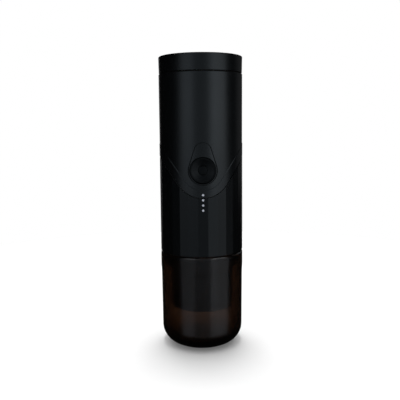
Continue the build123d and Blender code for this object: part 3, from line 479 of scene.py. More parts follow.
def paint(piece, material):
    """Gives a piece one finish, in place of what its cutters brought along."""
    piece.data.materials.clear()
    piece.data.materials.append(material)


def even_faces(piece):
    """Shading in which broad faces stay even beside narrow rounded edges."""
    weighted = piece.modifiers.new("even_faces", "WEIGHTED_NORMAL")
    weighted.keep_sharp = True


def quarter(steps):
    """Sine and cosine pairs along a quarter circle, ends included."""
    return [(math.sin(i * math.pi / 2 / steps), math.cos(i * math.pi / 2 / steps)) for i in range(steps + 1)]


def low_edge(x):
    """Lower line of the band."""
    return band_line(x, BAND_LOW_ARC)


def top_edge(x):
    """Upper line of the band."""
    return band_line(x, BAND_TOP_ARC)


def below_round(x):
    """Level at which the rounding of the shell's top starts."""
    return SHELL_TOP - TOP_ROUND


def between(first, second, share):
    """Height line between two others."""
    return lambda x: (1 - share) * first(x) + share * second(x)


def lifted(line, rise):
    """Height line moved up."""
    return lambda x: line(x) + rise


EDGE_ROUND = 0.3 * MM
TOP_ROUND = 0.5 * MM
SLOPE_BLEND = 0.03 * MM
SLOPE_START = -0.25 * MM
SLOPE_FOOT = -0.08 * MM
SLOPE_HEAD = 0.5 * MM
SLOPE_END = 0.65 * MM
shell_rings = [(SHELL_BORE, low_edge)]
for s, c in quarter(3):
    shell_rings.append((BAND_RADIUS - EDGE_ROUND * (1 - s), lifted(low_edge, EDGE_ROUND * (1 - c))))
shell_rings += [
    (BAND_RADIUS, lifted(top_edge, SLOPE_START)),
    (BAND_RADIUS - SLOPE_BLEND, lifted(top_edge, SLOPE_FOOT)),
    (BODY_RADIUS + SLOPE_BLEND, lifted(top_edge, SLOPE_HEAD)),
    (BODY_RADIUS, lifted(top_edge, SLOPE_END)),
]
for share in (0.2, 0.4, 0.6, 0.8):
    shell_rings.append((BODY_RADIUS, between(lifted(top_edge, SLOPE_END), below_round, share)))
for s, c in quarter(8):
    shell_rings.append((BODY_RADIUS - TOP_ROUND * (1 - c), SHELL_TOP - TOP_ROUND * (1 - s)))
shell_rings.append((SHELL_BORE, SHELL_TOP))
upper_shell = finish_mesh(ring_shell(ROUND_STEPS, shell_rings), "upper_shell_skin")

PLATE_LOW_RADIUS = 11.7 * MM
PLATE_TOP_RADIUS = 7.0 * MM
PLATE_SPAN = 15.3 * MM
PLATE_GAP = 0.25 * MM
PLATE_DEPTH = 1.15 * MM
BUTTON_HOLE = 10.75 * MM
OUTLINE_STEPS = 192
HOLE_STEPS = 96
FRONT_CLEAR = -45 * MM
BORE_BACK = -20 * MM
CORE_REACH = 60 * MM
CORE_LOW = 100 * MM
CORE_HIGH = 200 * MM


def teardrop_reach(turn, grow):
    """Distance from the button's centre to the plate's outline, at an angle from straight up."""
    lean = math.asin((PLATE_LOW_RADIUS - PLATE_TOP_RADIUS) / PLATE_SPAN)
    low, top = PLATE_LOW_RADIUS + grow, PLATE_TOP_RADIUS + grow
    turn = abs(math.remainder(turn, 2 * math.pi))
    if turn >= math.pi / 2 - lean:
        return low
    far = math.atan2(top * math.cos(lean), PLATE_SPAN + top * math.sin(lean))
    if turn >= far:
        return low / math.cos(turn - (math.pi / 2 - lean))
    return PLATE_SPAN * math.cos(turn) + math.sqrt(top * top - (PLATE_SPAN * math.sin(turn)) ** 2)


def teardrop(grow):
    """The plate's outline, grown by a width, as a distance that follows the turn."""
    return lambda turn: teardrop_reach(turn, grow)


def round_button(turn, reach, depth):
    """Point of a loop round the button's axis, with its distance from the axis and its depth in front."""
    far = value_at(reach, turn)
    x = far * math.sin(turn)
    return (x, value_at(depth, x), BUTTON_HEIGHT + far * math.cos(turn))


def front_shell(steps, loops, closed=True):
    """Wall through loops round the button's axis."""
    return lofted(steps, loops, round_button, closed)


def front_bore(steps, outline, name):
    """Plug with an outline round the button's axis, from behind the shell to clear of its front."""
    return finish_mesh(front_shell(steps, [(outline, FRONT_CLEAR), (outline, BORE_BACK)], False), name)


pocket = front_bore(OUTLINE_STEPS, teardrop(PLATE_GAP), "pocket")
pocket_floor = BODY_RADIUS - PLATE_DEPTH
core_rings = [
    (pocket_floor, CORE_LOW),
    (CORE_REACH, CORE_LOW),
    (CORE_REACH, CORE_HIGH),
    (pocket_floor, CORE_HIGH),
]
carve(pocket, finish_mesh(ring_shell(ROUND_STEPS, core_rings), "core"), "INTERSECT")
carve(upper_shell, pocket)
carve(upper_shell, front_bore(HOLE_STEPS, BUTTON_HOLE, "hole"))

LIGHT_RADIUS = 1.0 * MM
LIGHT_GAP = 0.1 * MM
LIGHT_PITCH = 4.17 * MM
LIGHT_TOP = 132.9 * MM
LIGHT_BORE_MIDDLE = -34 * MM
LIGHT_BORE_LENGTH = 8 * MM
LIGHT_BORE_STEPS = 24
light_heights = [LIGHT_TOP - step * LIGHT_PITCH for step in range(4)]


def along_front(place):
    """Frame at a place whose Z runs out of the machine's front."""
    return Matrix.Translation(place) @ Matrix.Rotation(math.pi / 2, 4, "X")


def light_cutter(height):
    """Thin rod along Y that bores the hole for one indicator light."""
    bm = bmesh.new()
    bmesh.ops.create_cone(
        bm,
        cap_ends=True,
        segments=LIGHT_BORE_STEPS,
        radius1=LIGHT_RADIUS + LIGHT_GAP,
        radius2=LIGHT_RADIUS + LIGHT_GAP,
        depth=LIGHT_BORE_LENGTH,
        matrix=along_front((0, LIGHT_BORE_MIDDLE, height)),
    )
    return finish_mesh(bm, "light_cutter")


carve(upper_shell, light_cutter(light_heights[0]))
upper_shell.data.set_sharp_from_angle(angle=math.radians(SHELL_CREASE))
even_faces(upper_shell)
SHELL_TONE = (0.0008, 0.0010, 0.0013)
COOL_SHEEN = (0.84, 0.93, 1.0)


def satin(name, gloss, depth, specular=0.5):
    """Black satin plastic of the outer shells, with a cool sheen."""
    return moulded(
        name, SHELL_TONE, gloss, drift=0.1, pits=9000.0, depth=depth, specular=specular, sheen=COOL_SHEEN
    )


satin_black = satin("satin_black", (0.32, 0.36), 0.004 * MM)
paint(upper_shell, satin_black)
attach(upper_shell, "housing")
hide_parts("upper_shell")

# Control plate: teardrop inlay in gloss black, moulded to the shell's curve and glued in its pocket.
# Its edges are slightly rounded, so a thin dark joint shows all round it.
PLATE_THICKNESS = 1.1 * MM
PLATE_ROUND = 0.18 * MM
PLATE_INSET = 0.3 * MM
PLATE_CREASE = 50.0
ROUND_MIDDLE_SHARE = 0.3


def on_body(depth):
    """Depth line that lies under the body's surface."""
    radius = BODY_RADIUS - depth
    return lambda x: -math.sqrt(radius * radius - x * x)


def across(share):
    """Loop between the button's hole and the plate's outline."""
    inner = BUTTON_HOLE + PLATE_ROUND
    outer = teardrop(-PLATE_INSET - PLATE_ROUND)
    return lambda turn: (1 - share) * inner + share * outer(turn)


plate_outline = teardrop(-PLATE_INSET)
round_middle = ROUND_MIDDLE_SHARE * PLATE_ROUND
plate_loops = [
    (BUTTON_HOLE, on_body(PLATE_THICKNESS)),
    (BUTTON_HOLE, on_body(PLATE_ROUND)),
    (BUTTON_HOLE + round_middle, on_body(round_middle)),
]
plate_loops += [(across(share), on_body(0)) for share in (0, 0.2, 0.4, 0.6, 0.8, 1)]
plate_loops += [
    (teardrop(-PLATE_INSET - round_middle), on_body(round_middle)),
    (plate_outline, on_body(PLATE_ROUND)),
    (plate_outline, on_body(PLATE_THICKNESS)),
]
control_plate = finish_mesh(front_shell(OUTLINE_STEPS, plate_loops), "control_plate_skin", PLATE_CREASE)
even_faces(control_plate)
plate_black = satin("plate_black", (0.30, 0.34), 0.003 * MM)
paint(control_plate, plate_black)
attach(control_plate, "housing")
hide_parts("control_plate")

# Button: dished disc in black ABS with a small centre disc inside a ring groove.
# A flange behind the shell keeps it in, and it presses a switch on the board.
BUTTON_RADIUS = 10.45 * MM
BUTTON_STEPS = 128
DISH = 1.5 * MM
DISC_RADIUS = 3.3 * MM
DISC_RISE = 0.45 * MM
GROOVE_RADIUS = 3.8 * MM
GROOVE_SINK = 0.4 * MM
DISH_INNER = 3.9 * MM
DISH_MIDDLE = 6.5 * MM
DISH_OUTER = 9.3 * MM
DISH_MIDDLE_SHARE = 0.6
DISH_OUTER_SHARE = 0.03
FLANGE_RADIUS = 11.6 * MM
FLANGE_THICKNESS = 1.2 * MM
BOSS_RADIUS = 4.7 * MM
BOSS_RECESS = 1.5 * MM
FINE_ROUND = 0.1 * MM
SMALL_ROUND = 0.2 * MM
DISC_ROUND = 0.3 * MM
RIM_ROUND = 0.4 * MM
DISH_ROUND = 1.2 * MM


def spun(corners, steps, place, segments=3):
    """Closed profile of (radius, height, rounding) corners, rounded and turned about an axis."""
    bm = bmesh.new()
    ring = [bm.verts.new((radius, 0, height)) for radius, height, rounding in corners]
    roundings = {vert: corner[2] for vert, corner in zip(ring, corners)}
    for first, second in zip(ring, ring[1:] + ring[:1]):
        bm.edges.new((first, second))
    for vert, rounding in roundings.items():
        if rounding:
            bmesh.ops.bevel(
                bm,
                geom=[vert],
                offset=rounding,
                offset_type="OFFSET",
                segments=segments,
                profile=0.5,
                affect="VERTICES",
                material=-1,
            )
    on_axis = [edge for edge in bm.edges if all(abs(vert.co.x) < MERGE_DISTANCE for vert in edge.verts)]
    bmesh.ops.delete(bm, geom=on_axis, context="EDGES")
    bmesh.ops.spin(
        bm,
        geom=bm.verts[:] + bm.edges[:],
        cent=(0, 0, 0),
        axis=(0, 0, 1),
        angle=2 * math.pi,
        steps=steps,
        use_merge=True,
    )
    bmesh.ops.remove_doubles(bm, verts=bm.verts, dist=MERGE_DISTANCE)
    bmesh.ops.recalc_face_normals(bm, faces=bm.faces)
    bmesh.ops.transform(bm, matrix=place, verts=bm.verts)
    return bm


button_low, button_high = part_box("button")
button_front = -button_low.y
button_back = -button_high.y
dish_floor = button_front - DISH
groove_floor = dish_floor - GROOVE_SINK
flange_front = button_back + FLANGE_THICKNESS
boss_back = button_back + BOSS_RECESS
button_corners = [
    (0, dish_floor + DISC_RISE, 0),
    (DISC_RADIUS, dish_floor + DISC_RISE, DISC_ROUND),
    (DISC_RADIUS, groove_floor, FINE_ROUND),
    (GROOVE_RADIUS, groove_floor, FINE_ROUND),
    (DISH_INNER, dish_floor, SMALL_ROUND),
    (DISH_MIDDLE, button_front - DISH_MIDDLE_SHARE * DISH, DISH_ROUND),
    (DISH_OUTER, button_front - DISH_OUTER_SHARE * DISH, RIM_ROUND),
    (BUTTON_RADIUS, button_front, RIM_ROUND),
    (BUTTON_RADIUS, flange_front, 0),
    (FLANGE_RADIUS, flange_front, FINE_ROUND),
    (FLANGE_RADIUS, button_back, FINE_ROUND),
    (BOSS_RADIUS, button_back, 0),
    (BOSS_RADIUS, boss_back, 0),
    (0, boss_back, 0),
]
button = finish_mesh(spun(button_corners, BUTTON_STEPS, along_front((0, 0, BUTTON_HEIGHT)), 4), "button_cap")
button_black = satin("button_black", (0.30, 0.36), 0.003 * MM, 0.18)
paint(button, button_black)
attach(button, "button")
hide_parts("button")

# Indicator lights: clouded acrylic guide behind the shells, with a domed peg in each small hole.
# It lies just in front of the lights on the board, and its pegs carry their light out to the front.
GUIDE_WIDTH = 4.4 * MM
GUIDE_DEPTH = 1.2 * MM
PEG_STEPS = 32
PEG_SINK = 0.05 * MM
PEG_DOME = 0.1 * MM
PEG_ROUND = 0.25 * MM
clouded = moulded("clouded_acrylic", (0.42, 0.44, 0.50), gloss=(0.2, 0.3), drift=0.04)
guide_low, guide_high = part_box("light_guide")
bm = bmesh.new()
made = bmesh.ops.create_cube(bm, size=1.0)["verts"]
bmesh.ops.scale(bm, vec=(GUIDE_WIDTH, GUIDE_DEPTH, guide_high.z - guide_low.z), verts=made)
bmesh.ops.translate(bm, vec=(0, guide_high.y - GUIDE_DEPTH / 2, (guide_low.z + guide_high.z) / 2), verts=made)
bmesh.ops.bevel(
    bm,
    geom=bm.edges[:],
    offset=SMALL_ROUND,
    offset_type="OFFSET",
    segments=2,
    profile=0.5,
    affect="EDGES",
    material=-1,
)
light_guide = finish_mesh(bm, "light_guide_bar")
peg_back = -guide_high.y
for number, height in enumerate(light_heights):
    face = (BAND_RADIUS if number == 0 else BODY_RADIUS) - PEG_SINK
    peg_corners = [
        (0, face, 0),
        (LIGHT_RADIUS, face - PEG_DOME, PEG_ROUND),
        (LIGHT_RADIUS, peg_back, 0),
        (0, peg_back, 0),
    ]
    peg = finish_mesh(spun(peg_corners, PEG_STEPS, along_front((0, 0, height))), f"light_peg_{number + 1}")
    paint(peg, clouded)
    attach(peg, "housing")
paint(light_guide, clouded)
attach(light_guide, "housing")
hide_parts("light_guide")

# Grip sleeve: lower body shell with narrow upright facets, moulded in the same black ABS.
# Its top edge follows the band, and a port with a rubber flap is cut into its back.
FACETS = 28
FACET_STEPS = 8
FACET_CREASE = math.radians(9)
FACET_ROUND = 0.18 * MM
SLEEVE_FOOT = 82.1 * MM
SLEEVE_FOOT_RADIUS = 35.28 * MM
SLEEVE_TOP_RADIUS = 34.95 * MM
SLEEVE_CHAMFER = 0.3 * MM
SEAM = 0.5 * MM
facet_angle = 2 * math.pi / FACETS
chamfer_top = SLEEVE_FOOT + SLEEVE_CHAMFER


def facet_reach(corner):
    """Distance to the flat facets at an angle, for a prism of that corner radius with one facet in front."""
    flat = corner * math.cos(facet_angle / 2)

    def reach(turn):
        local = math.remainder(turn + math.pi / 2, facet_angle)
        return flat / math.cos(local)

    return reach


def sleeve_corner(height):
    """Corner radius of the tapered prism at a height."""
    share = (height - chamfer_top) / (SHELL_TOP - chamfer_top)
    return SLEEVE_FOOT_RADIUS + (SLEEVE_TOP_RADIUS - SLEEVE_FOOT_RADIUS) * share


def sleeve_edge(x):
    """Top line of the sleeve, a seam's width under the band."""
    return band_line(x, BAND_LOW_ARC + SEAM)


def sleeve_ring(share):
    """Ring at a share of the way from the foot's chamfer to the U line."""

    def level(x):
        return chamfer_top + share * (sleeve_edge(x) - chamfer_top)

    def reach(turn):
        rough = facet_reach(SLEEVE_FOOT_RADIUS)(turn)
        return facet_reach(sleeve_corner(level(rough * math.cos(turn))))(turn)

    return reach, level


sleeve_rings = [
    (SHELL_BORE, SLEEVE_FOOT),
    (facet_reach(SLEEVE_FOOT_RADIUS - SLEEVE_CHAMFER), SLEEVE_FOOT),
]
sleeve_rings += [sleeve_ring(share) for share in (0, 0.25, 0.5, 0.75, 1)]
sleeve_rings.append((SHELL_BORE, sleeve_edge))
bm = ring_shell(FACETS * FACET_STEPS, sleeve_rings)
bmesh.ops.bevel(
    bm,
    geom=[edge for edge in bm.edges if edge.calc_face_angle(0) > FACET_CREASE],
    offset=FACET_ROUND,
    offset_type="OFFSET",
    segments=2,
    profile=0.5,
    affect="EDGES",
    material=-1,
)
grip_sleeve = finish_mesh(bm, "grip_sleeve_skin", SHELL_CREASE)
for height in light_heights[1:]:
    carve(grip_sleeve, light_cutter(height))


def runs_along_y(edge):
    """Whether an edge of a block lies along Y."""
    first, second = edge.verts
    return abs((first.co - second.co).normalized().y) > 0.9


def soft_block(low, high, corner=0.0, name="block"):
    """Block between two corners, with its edges along Y rounded."""
    bm = bmesh.new()
    made = bmesh.ops.create_cube(bm, size=1.0)["verts"]
    bmesh.ops.scale(bm, vec=Vector(high) - Vector(low), verts=made)
    bmesh.ops.translate(bm, vec=(Vector(high) + Vector(low)) / 2, verts=made)
    if corner:
        bmesh.ops.bevel(
            bm,
            geom=[edge for edge in bm.edges if runs_along_y(edge)],
            offset=corner,
            offset_type="OFFSET",
            segments=8,
            profile=0.5,
            affect="EDGES",
            material=-1,
        )
    return finish_mesh(bm, name)


FLAP_GAP = 0.3 * MM
FLAP_THICKNESS = 1.2 * MM
FLAP_CORNER = 2.0 * MM
PORT_CORNER = 1.0 * MM
PORT_BACK = 20 * MM
BACK_CLEAR = 45 * MM
flap_low, flap_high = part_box("port_flap")
port_low, port_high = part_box("usb_socket")
flap_floor = flap_high.y - FLAP_THICKNESS
for low, high, back, corner in (
    (flap_low, flap_high, flap_floor - FLAP_GAP, FLAP_CORNER + FLAP_GAP),
    (port_low, port_high, PORT_BACK, PORT_CORNER),
):
    opening_low = (low.x - FLAP_GAP, back, low.z - FLAP_GAP)
    opening_high = (high.x + FLAP_GAP, BACK_CLEAR, high.z + FLAP_GAP)
    carve(grip_sleeve, soft_block(opening_low, opening_high, corner))
grip_sleeve.data.set_sharp_from_angle(angle=math.radians(SHELL_CREASE))
even_faces(grip_sleeve)
sleeve_black = satin("sleeve_black", (0.31, 0.35), 0.004 * MM, 0.32)
paint(grip_sleeve, sleeve_black)
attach(grip_sleeve, "housing")
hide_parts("grip_sleeve")

# Port flap: soft black rubber plate, flush with the facets, moulded with a plug behind it.
# A short strap at its foot is its hinge, and three fine grooves near its top give a grip.
FLAP_FOOT_GAP = 0.3 * MM
FLAP_CREASE = 30.0
PRISM_BORE = 10 * MM
PLUG_INSET = 0.6 * MM
PLUG_CORNER = 0.8 * MM
PLUG_ROOT = 0.2 * MM
STRAP_HALF_WIDTH = 3.5 * MM
STRAP_STEPS = 32
STRAP_INSET = 0.05 * MM
STRAP_OVERLAP = 0.4 * MM
GRIP_COUNT = 3
GRIP_PITCH = 0.8 * MM
GRIP_TOP = 1.5 * MM
GRIP_DEPTH = 0.22 * MM
GRIP_HALF_WIDTH = 3.2 * MM
GRIP_HALF_HEIGHT = 0.2 * MM
GRIP_CORNER = 0.19 * MM
joints = frame["record"]["behaviour"]["joints"]
hinge = next(joint for joint in joints if joint["name"] == "flap_swing")["pos_m"]
flap = soft_block(
    (flap_low.x, flap_floor, hinge[2] + FLAP_FOOT_GAP),
    (flap_high.x, BACK_CLEAR, flap_high.z),
    FLAP_CORNER,
    "port_flap_skin",
)
prism_rings = [
    (PRISM_BORE, chamfer_top),
    (facet_reach(SLEEVE_FOOT_RADIUS), chamfer_top),
    (facet_reach(SLEEVE_TOP_RADIUS), SHELL_TOP),
    (PRISM_BORE, SHELL_TOP),
]
carve(flap, finish_mesh(ring_shell(FACETS * 2, prism_rings), "prism"), "INTERSECT")
plug_low = (port_low.x + PLUG_INSET, flap_low.y, port_low.z + PLUG_INSET)
plug_high = (port_high.x - PLUG_INSET, flap_floor + PLUG_ROOT, port_high.z - PLUG_INSET)
carve(flap, soft_block(plug_low, plug_high, PLUG_CORNER), "UNION")
bm = bmesh.new()
bmesh.ops.create_cone(
    bm,
    cap_ends=True,
    segments=STRAP_STEPS,
    radius1=FLAP_THICKNESS / 2,
    radius2=FLAP_THICKNESS / 2,
    depth=2 * STRAP_HALF_WIDTH,
    matrix=Matrix.Translation(hinge) @ Matrix.Rotation(math.pi / 2, 4, "Y"),
)
carve(flap, finish_mesh(bm, "strap"), "UNION")
strap_low = (-STRAP_HALF_WIDTH, flap_floor + STRAP_INSET, hinge[2])
strap_high = (
    STRAP_HALF_WIDTH,
    hinge[1] + FLAP_THICKNESS / 2 - STRAP_INSET,
    hinge[2] + FLAP_FOOT_GAP + STRAP_OVERLAP,
)
carve(flap, soft_block(strap_low, strap_high), "UNION")
for number in range(GRIP_COUNT):
    level = flap_high.z - GRIP_TOP - number * GRIP_PITCH
    grip_low = (-GRIP_HALF_WIDTH, flap_high.y - GRIP_DEPTH, level - GRIP_HALF_HEIGHT)
    grip_high = (GRIP_HALF_WIDTH, BACK_CLEAR, level + GRIP_HALF_HEIGHT)
    carve(flap, soft_block(grip_low, grip_high, GRIP_CORNER))
flap.data.set_sharp_from_angle(angle=math.radians(FLAP_CREASE))
paint(flap, soft_rubber)
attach(flap, "flap")
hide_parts("port_flap")

# Lid: shallow turned cap in satin black ABS, glued over the threaded plug.
# A shadow groove is left under it, with the tank's collar at the bottom of the groove.
LID_FOOT = 230.85 * MM
LID_TOP = 244.2 * MM
LID_FOOT_RADIUS = 34.65 * MM
LID_WALL = 2.4 * MM
LID_ROOF = 2.3 * MM
LID_ROUND = 0.8 * MM
LID_FOOT_ROUND = 0.25 * MM
upright = Matrix.Identity(4)
lid_corners = [
    (0, LID_TOP, 0),
    (BODY_RADIUS, LID_TOP, LID_ROUND),
    (LID_FOOT_RADIUS, LID_FOOT, LID_FOOT_ROUND),
    (LID_FOOT_RADIUS - LID_WALL, LID_FOOT, SMALL_ROUND),
    (LID_FOOT_RADIUS - LID_WALL, LID_TOP - LID_ROOF, 0),
    (0, LID_TOP - LID_ROOF, 0),
]
lid = finish_mesh(spun(lid_corners, ROUND_STEPS, upright, 6), "lid_cap_skin")
lid_black = satin("lid_black", (0.32, 0.36), 0.004 * MM, 0.44)
paint(lid, lid_black)
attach(lid, "lid")
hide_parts("lid_cap")

# Cup: drinking cup in smoked clear plastic, moulded in one piece with a wide round corner at its foot.
# It pushes up over the brew head's seal, carries the machine, and shows the holder inside.
# Only the lip of its rim is polished.
CUP_HEIGHT = 81.5 * MM
CUP_RIM_LOW = 68.7 * MM
CUP_STEP = 64.1 * MM
CUP_RIM = 35.3 * MM
CUP_WALL_RADIUS = 34.95 * MM
CUP_FOOT_RADIUS = 34.55 * MM
CUP_CORNER = 15.5 * MM
CUP_WALL = 2.2 * MM
CUP_FLOOR = 3.4 * MM
CUP_RECESS = 13.95 * MM
CUP_RECESS_DEPTH = 0.6 * MM
CUP_STEP_ROUND = 1.2 * MM
CUP_RIM_ROUND = 1.5 * MM
CUP_LIP_ROUND = 0.3 * MM
POLISH_LOW = 1.3 * MM
POLISH_HIGH = 1.1 * MM
cup_corners = [
    (0, CUP_RECESS_DEPTH, 0),
    (CUP_RECESS, CUP_RECESS_DEPTH, SMALL_ROUND),
    (CUP_RECESS, 0, SMALL_ROUND),
    (CUP_FOOT_RADIUS, 0, CUP_CORNER),
    (CUP_WALL_RADIUS, CUP_STEP, CUP_STEP_ROUND),
    (CUP_RIM, CUP_RIM_LOW, CUP_STEP_ROUND),
    (CUP_RIM, CUP_HEIGHT, CUP_RIM_ROUND),
    (CUP_RIM - CUP_WALL, CUP_HEIGHT, CUP_LIP_ROUND),
    (CUP_RIM - CUP_WALL, CUP_RIM_LOW, CUP_STEP_ROUND),
    (CUP_WALL_RADIUS - CUP_WALL, CUP_STEP, CUP_STEP_ROUND),
    (CUP_FOOT_RADIUS - CUP_WALL, CUP_FLOOR, CUP_CORNER - CUP_WALL),
    (0, CUP_FLOOR, 0),
]
cup = finish_mesh(spun(cup_corners, ROUND_STEPS, upright, 8), "cup_wall")
smoked, tree, shader = new_material("smoked_plastic")
place = add_node(tree, "ShaderNodeTexCoord").outputs["Object"]
scuffs = noise(tree, place, 900.0, 4.0, 0.6)
tint = add_node(
    tree,
    "ShaderNodeMix",
    {"Factor": noise(tree, place, 25.0), 6: (0.86, 0.85, 0.84, 1), 7: (0.94, 0.93, 0.92, 1)},
    data_type="RGBA",
)
tree.links.new(tint.outputs[2], shader.inputs["Base Color"])
tree.links.new(remap(tree, scuffs, 0.20, 0.26), shader.inputs["Roughness"])
shader.inputs["Transmission Weight"].default_value = 1.0
shader.inputs["IOR"].default_value = 1.42
shader.inputs["Specular Tint"].default_value = (0.92, 0.94, 1.0, 1)
level = add_node(tree, "ShaderNodeSeparateXYZ", {0: place}).outputs["Z"]
polish = remap(tree, level, 0.0, 1.0, (CUP_HEIGHT - POLISH_LOW, CUP_HEIGHT - POLISH_HIGH))
tree.links.new(polish, shader.inputs["Coat Weight"])
shader.inputs["Coat Roughness"].default_value = 0.06
shader.inputs["Coat IOR"].default_value = 1.6
smoke = add_node(tree, "ShaderNodeVolumeAbsorption", {"Color": (0.55, 0.46, 0.375, 1), "Density": 1750.0})
tree.links.new(smoke.outputs[0], tree.nodes["Material Output"].inputs["Volume"])
paint(cup, smoked)
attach(cup, "cup")
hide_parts("cup")

# Studio: pale painted floor with a lamp of its own high above, which keeps the soft shadow short.
# The surroundings look white to the camera, and fill the floor a little from above and behind.
FLOOR_RADIUS = 0.5
FLOOR_SIDES = 96
FLOOR_GLOW = 0.11
bm = bmesh.new()
bmesh.ops.create_circle(bm, cap_ends=True, segments=FLOOR_SIDES, radius=FLOOR_RADIUS)
floor = finish_mesh(bm, "studio_floor")
floor_paint, tree, shader = new_material("floor_paint")
place = add_node(tree, "ShaderNodeTexCoord").outputs["Object"]
tree.links.new(remap(tree, noise(tree, place, 40.0), 0.79, 0.81), shader.inputs["Base Color"])
shader.inputs["Roughness"].default_value = 0.9
shader.inputs["Specular IOR Level"].default_value = 0.0
shader.inputs["Emission Color"].default_value = (1, 1, 1, 1)
shader.inputs["Emission Strength"].default_value = FLOOR_GLOW
paint(floor, floor_paint)
floor.visible_glossy = False
floor.visible_shadow = False

SKY_PINCH = (1.5, 1.0, 1.0)
SKY_SIDE = (0.0, 0.38, 0.925)
SKY_SPAN = (0.3, 1.0)
SKY_LOW = 0.25
SKY_HIGH = 1.72
WALL_SPAN = (0.9, 1.0)
WALL_DARK = 0.007
world = bpy.data.worlds.new("studio")
scene.world = world
world.use_nodes = True
world.cycles.sampling_method = "NONE"
tree = world.node_tree
background = tree.nodes["Background"]
background.inputs["Color"].default_value = (1, 1, 1, 1)
paths = add_node(tree, "ShaderNodeLightPath")
seen = add_node(
    tree,
    "ShaderNodeMath",
    {0: paths.outputs["Is Camera Ray"], 1: paths.outputs["Is Transmission Ray"]},
    operation="MAXIMUM",
)
ray = add_node(tree, "ShaderNodeTexCoord").outputs["Generated"]
away = add_node(tree, "ShaderNodeSeparateXYZ", {0: ray}).outputs["Y"]
back_wall = remap(tree, away, WALL_DARK, 1.0, WALL_SPAN, "SMOOTHSTEP")
pinched = add_node(tree, "ShaderNodeVectorMath", {0: ray, 1: SKY_PINCH}, operation="MULTIPLY")
unit = add_node(tree, "ShaderNodeVectorMath", {0: pinched.outputs[0]}, operation="NORMALIZE")
overhead = add_node(tree, "ShaderNodeVectorMath", {0: unit.outputs[0], 1: SKY_SIDE}, operation="DOT_PRODUCT")
fill = remap(tree, overhead.outputs["Value"], SKY_LOW, SKY_HIGH, SKY_SPAN, "SMOOTHSTEP")
mirrored = add_node(tree, "ShaderNodeMix", {"Factor": paths.outputs["Is Glossy Ray"], 2: fill, 3: back_wall})
strength = add_node(tree, "ShaderNodeMix", {"Factor": seen.outputs[0], 2: mirrored.outputs[0], 3: 1.0})
tree.links.new(strength.outputs[0], background.inputs["Strength"])

# Lamps: tall soft panels at each side in three heights, a broad weak one in front and one behind.
# They light the machine alone; a low strip stands in for the pale table in front of the cup's foot.
CAMERA_TURN = math.radians(-2.2)
PANEL_AWAY = 0.7
PANELS = ("table", "lamp", "upper")
PANEL_EDGES = (-0.42, 0.13, 0.26, 0.8)
STRIP_WIDTH = 0.16
STRIP_LENGTH = 0.06
STRIP_RADIANCE = 0.13
STRIP_SPOT = (0, -0.085, -0.004)
TOP_WIDTH = 0.6
TOP_LENGTH = 0.8
TOP_WATTS = 40.0
TOP_SPOT = (0, 0.35, 3.0)
lamp_targets = bpy.data.collections.new("lamp_targets")
lamp_targets.objects.link(floor)
lamp_targets.collection_objects[0].light_linking.link_state = "EXCLUDE"
floor_only = bpy.data.collections.new("floor_only")
floor_only.objects.link(floor)


def area_lamp(name, width, length, watts, place, receivers, tint=(1, 1, 1)):
    """Flat lamp that shines along its own -Z on some pieces alone, and is not seen itself."""
    lamp = bpy.data.lights.new(name, "AREA")
    lamp.shape = "RECTANGLE"
    lamp.size = width
    lamp.size_y = length
    lamp.energy = watts
    lamp.color = tint
    made = bpy.data.objects.new(name, lamp)
    scene.collection.objects.link(made)
    made.matrix_world = place
    made.light_linking.receiver_collection = receivers
    made.visible_camera = False
    return made


def softbox(name, side, away, spread, low, high, radiance, tint):
    """Upright panel at an angle to the camera's side, as wide as a spread in degrees seen from the object."""
    width = 2 * away * math.tan(math.radians(spread / 2))
    watts = radiance * math.pi * width * (high - low)
    turn = math.radians(side) + CAMERA_TURN
    spot = Vector((away * math.sin(turn), -away * math.cos(turn), (low + high) / 2))
    aim = Vector((-spot.x, -spot.y, 0))
    place = Matrix.Translation(spot) @ aim.to_track_quat("-Z", "Y").to_matrix().to_4x4()
    area_lamp(name, width, high - low, watts, place, lamp_targets, tint)


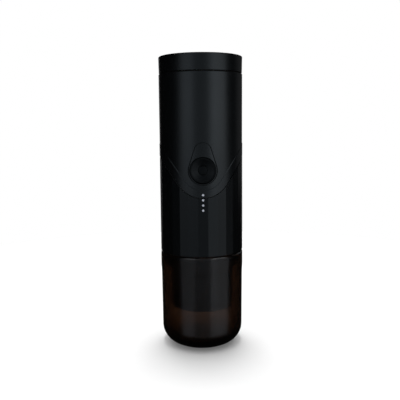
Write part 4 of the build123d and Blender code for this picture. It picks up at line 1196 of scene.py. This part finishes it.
for name, tint, panels in (
    ("left", (0.92, 0.96, 1.0), ((-40.5, 38, 0.36), (-38, 33, 0.90), (-38, 33, 0.65))),
    ("right", (0.97, 0.99, 1.0), ((50.5, 53, 0.54), (47.75, 43.5, 1.13), (47.75, 43.5, 0.92))),
):
    for panel, low, high, (side, spread, radiance) in zip(PANELS, PANEL_EDGES, PANEL_EDGES[1:], panels):
        softbox(f"{panel}_{name}", side, PANEL_AWAY, spread, low, high, radiance, tint)
softbox("lamp_front", 8, 1.2, 70, -0.5, 1.4, 0.25, (0.88, 0.95, 1.0))
softbox("lamp_back", 128, PANEL_AWAY, 36, 0.05, 0.8, 0.085, (0.95, 0.97, 1.0))
area_lamp(
    "table_glow",
    STRIP_WIDTH,
    STRIP_LENGTH,
    STRIP_RADIANCE * math.pi * STRIP_WIDTH * STRIP_LENGTH,
    Matrix.Translation(STRIP_SPOT) @ Matrix.Rotation(math.pi, 4, "X"),
    lamp_targets,
)
lamp_top = area_lamp("lamp_top", TOP_WIDTH, TOP_LENGTH, TOP_WATTS, Matrix.Translation(TOP_SPOT), floor_only)
lamp_top.visible_glossy = False
lamp_top.visible_transmission = False

# Camera: a little above the machine and turned slightly to one side, as in the photograph.
# Its place, lens and slight roll were fitted to the outlines of lid, joints and cup.
CAMERA_SPOT = (-0.00116, -0.46597, 0.18763)
CAMERA_TILT = 0.135
CAMERA_ROLL = -0.0088
CAMERA_LENS = 49.073
CAMERA_SENSOR = 36.0
NEAREST = 0.01
camera = bpy.data.cameras.new("camera")
camera.lens = CAMERA_LENS
camera.sensor_width = CAMERA_SENSOR
camera.clip_start = NEAREST
viewer = bpy.data.objects.new("camera", camera)
scene.collection.objects.link(viewer)
viewer.matrix_world = (
    Matrix.Rotation(CAMERA_TURN, 4, "Z")
    @ Matrix.Translation(CAMERA_SPOT)
    @ Matrix.Rotation(math.pi / 2 - CAMERA_TILT, 4, "X")
    @ Matrix.Rotation(CAMERA_ROLL, 4, "Z")
)
scene.camera = viewer
scene.view_settings.view_transform = "Standard"
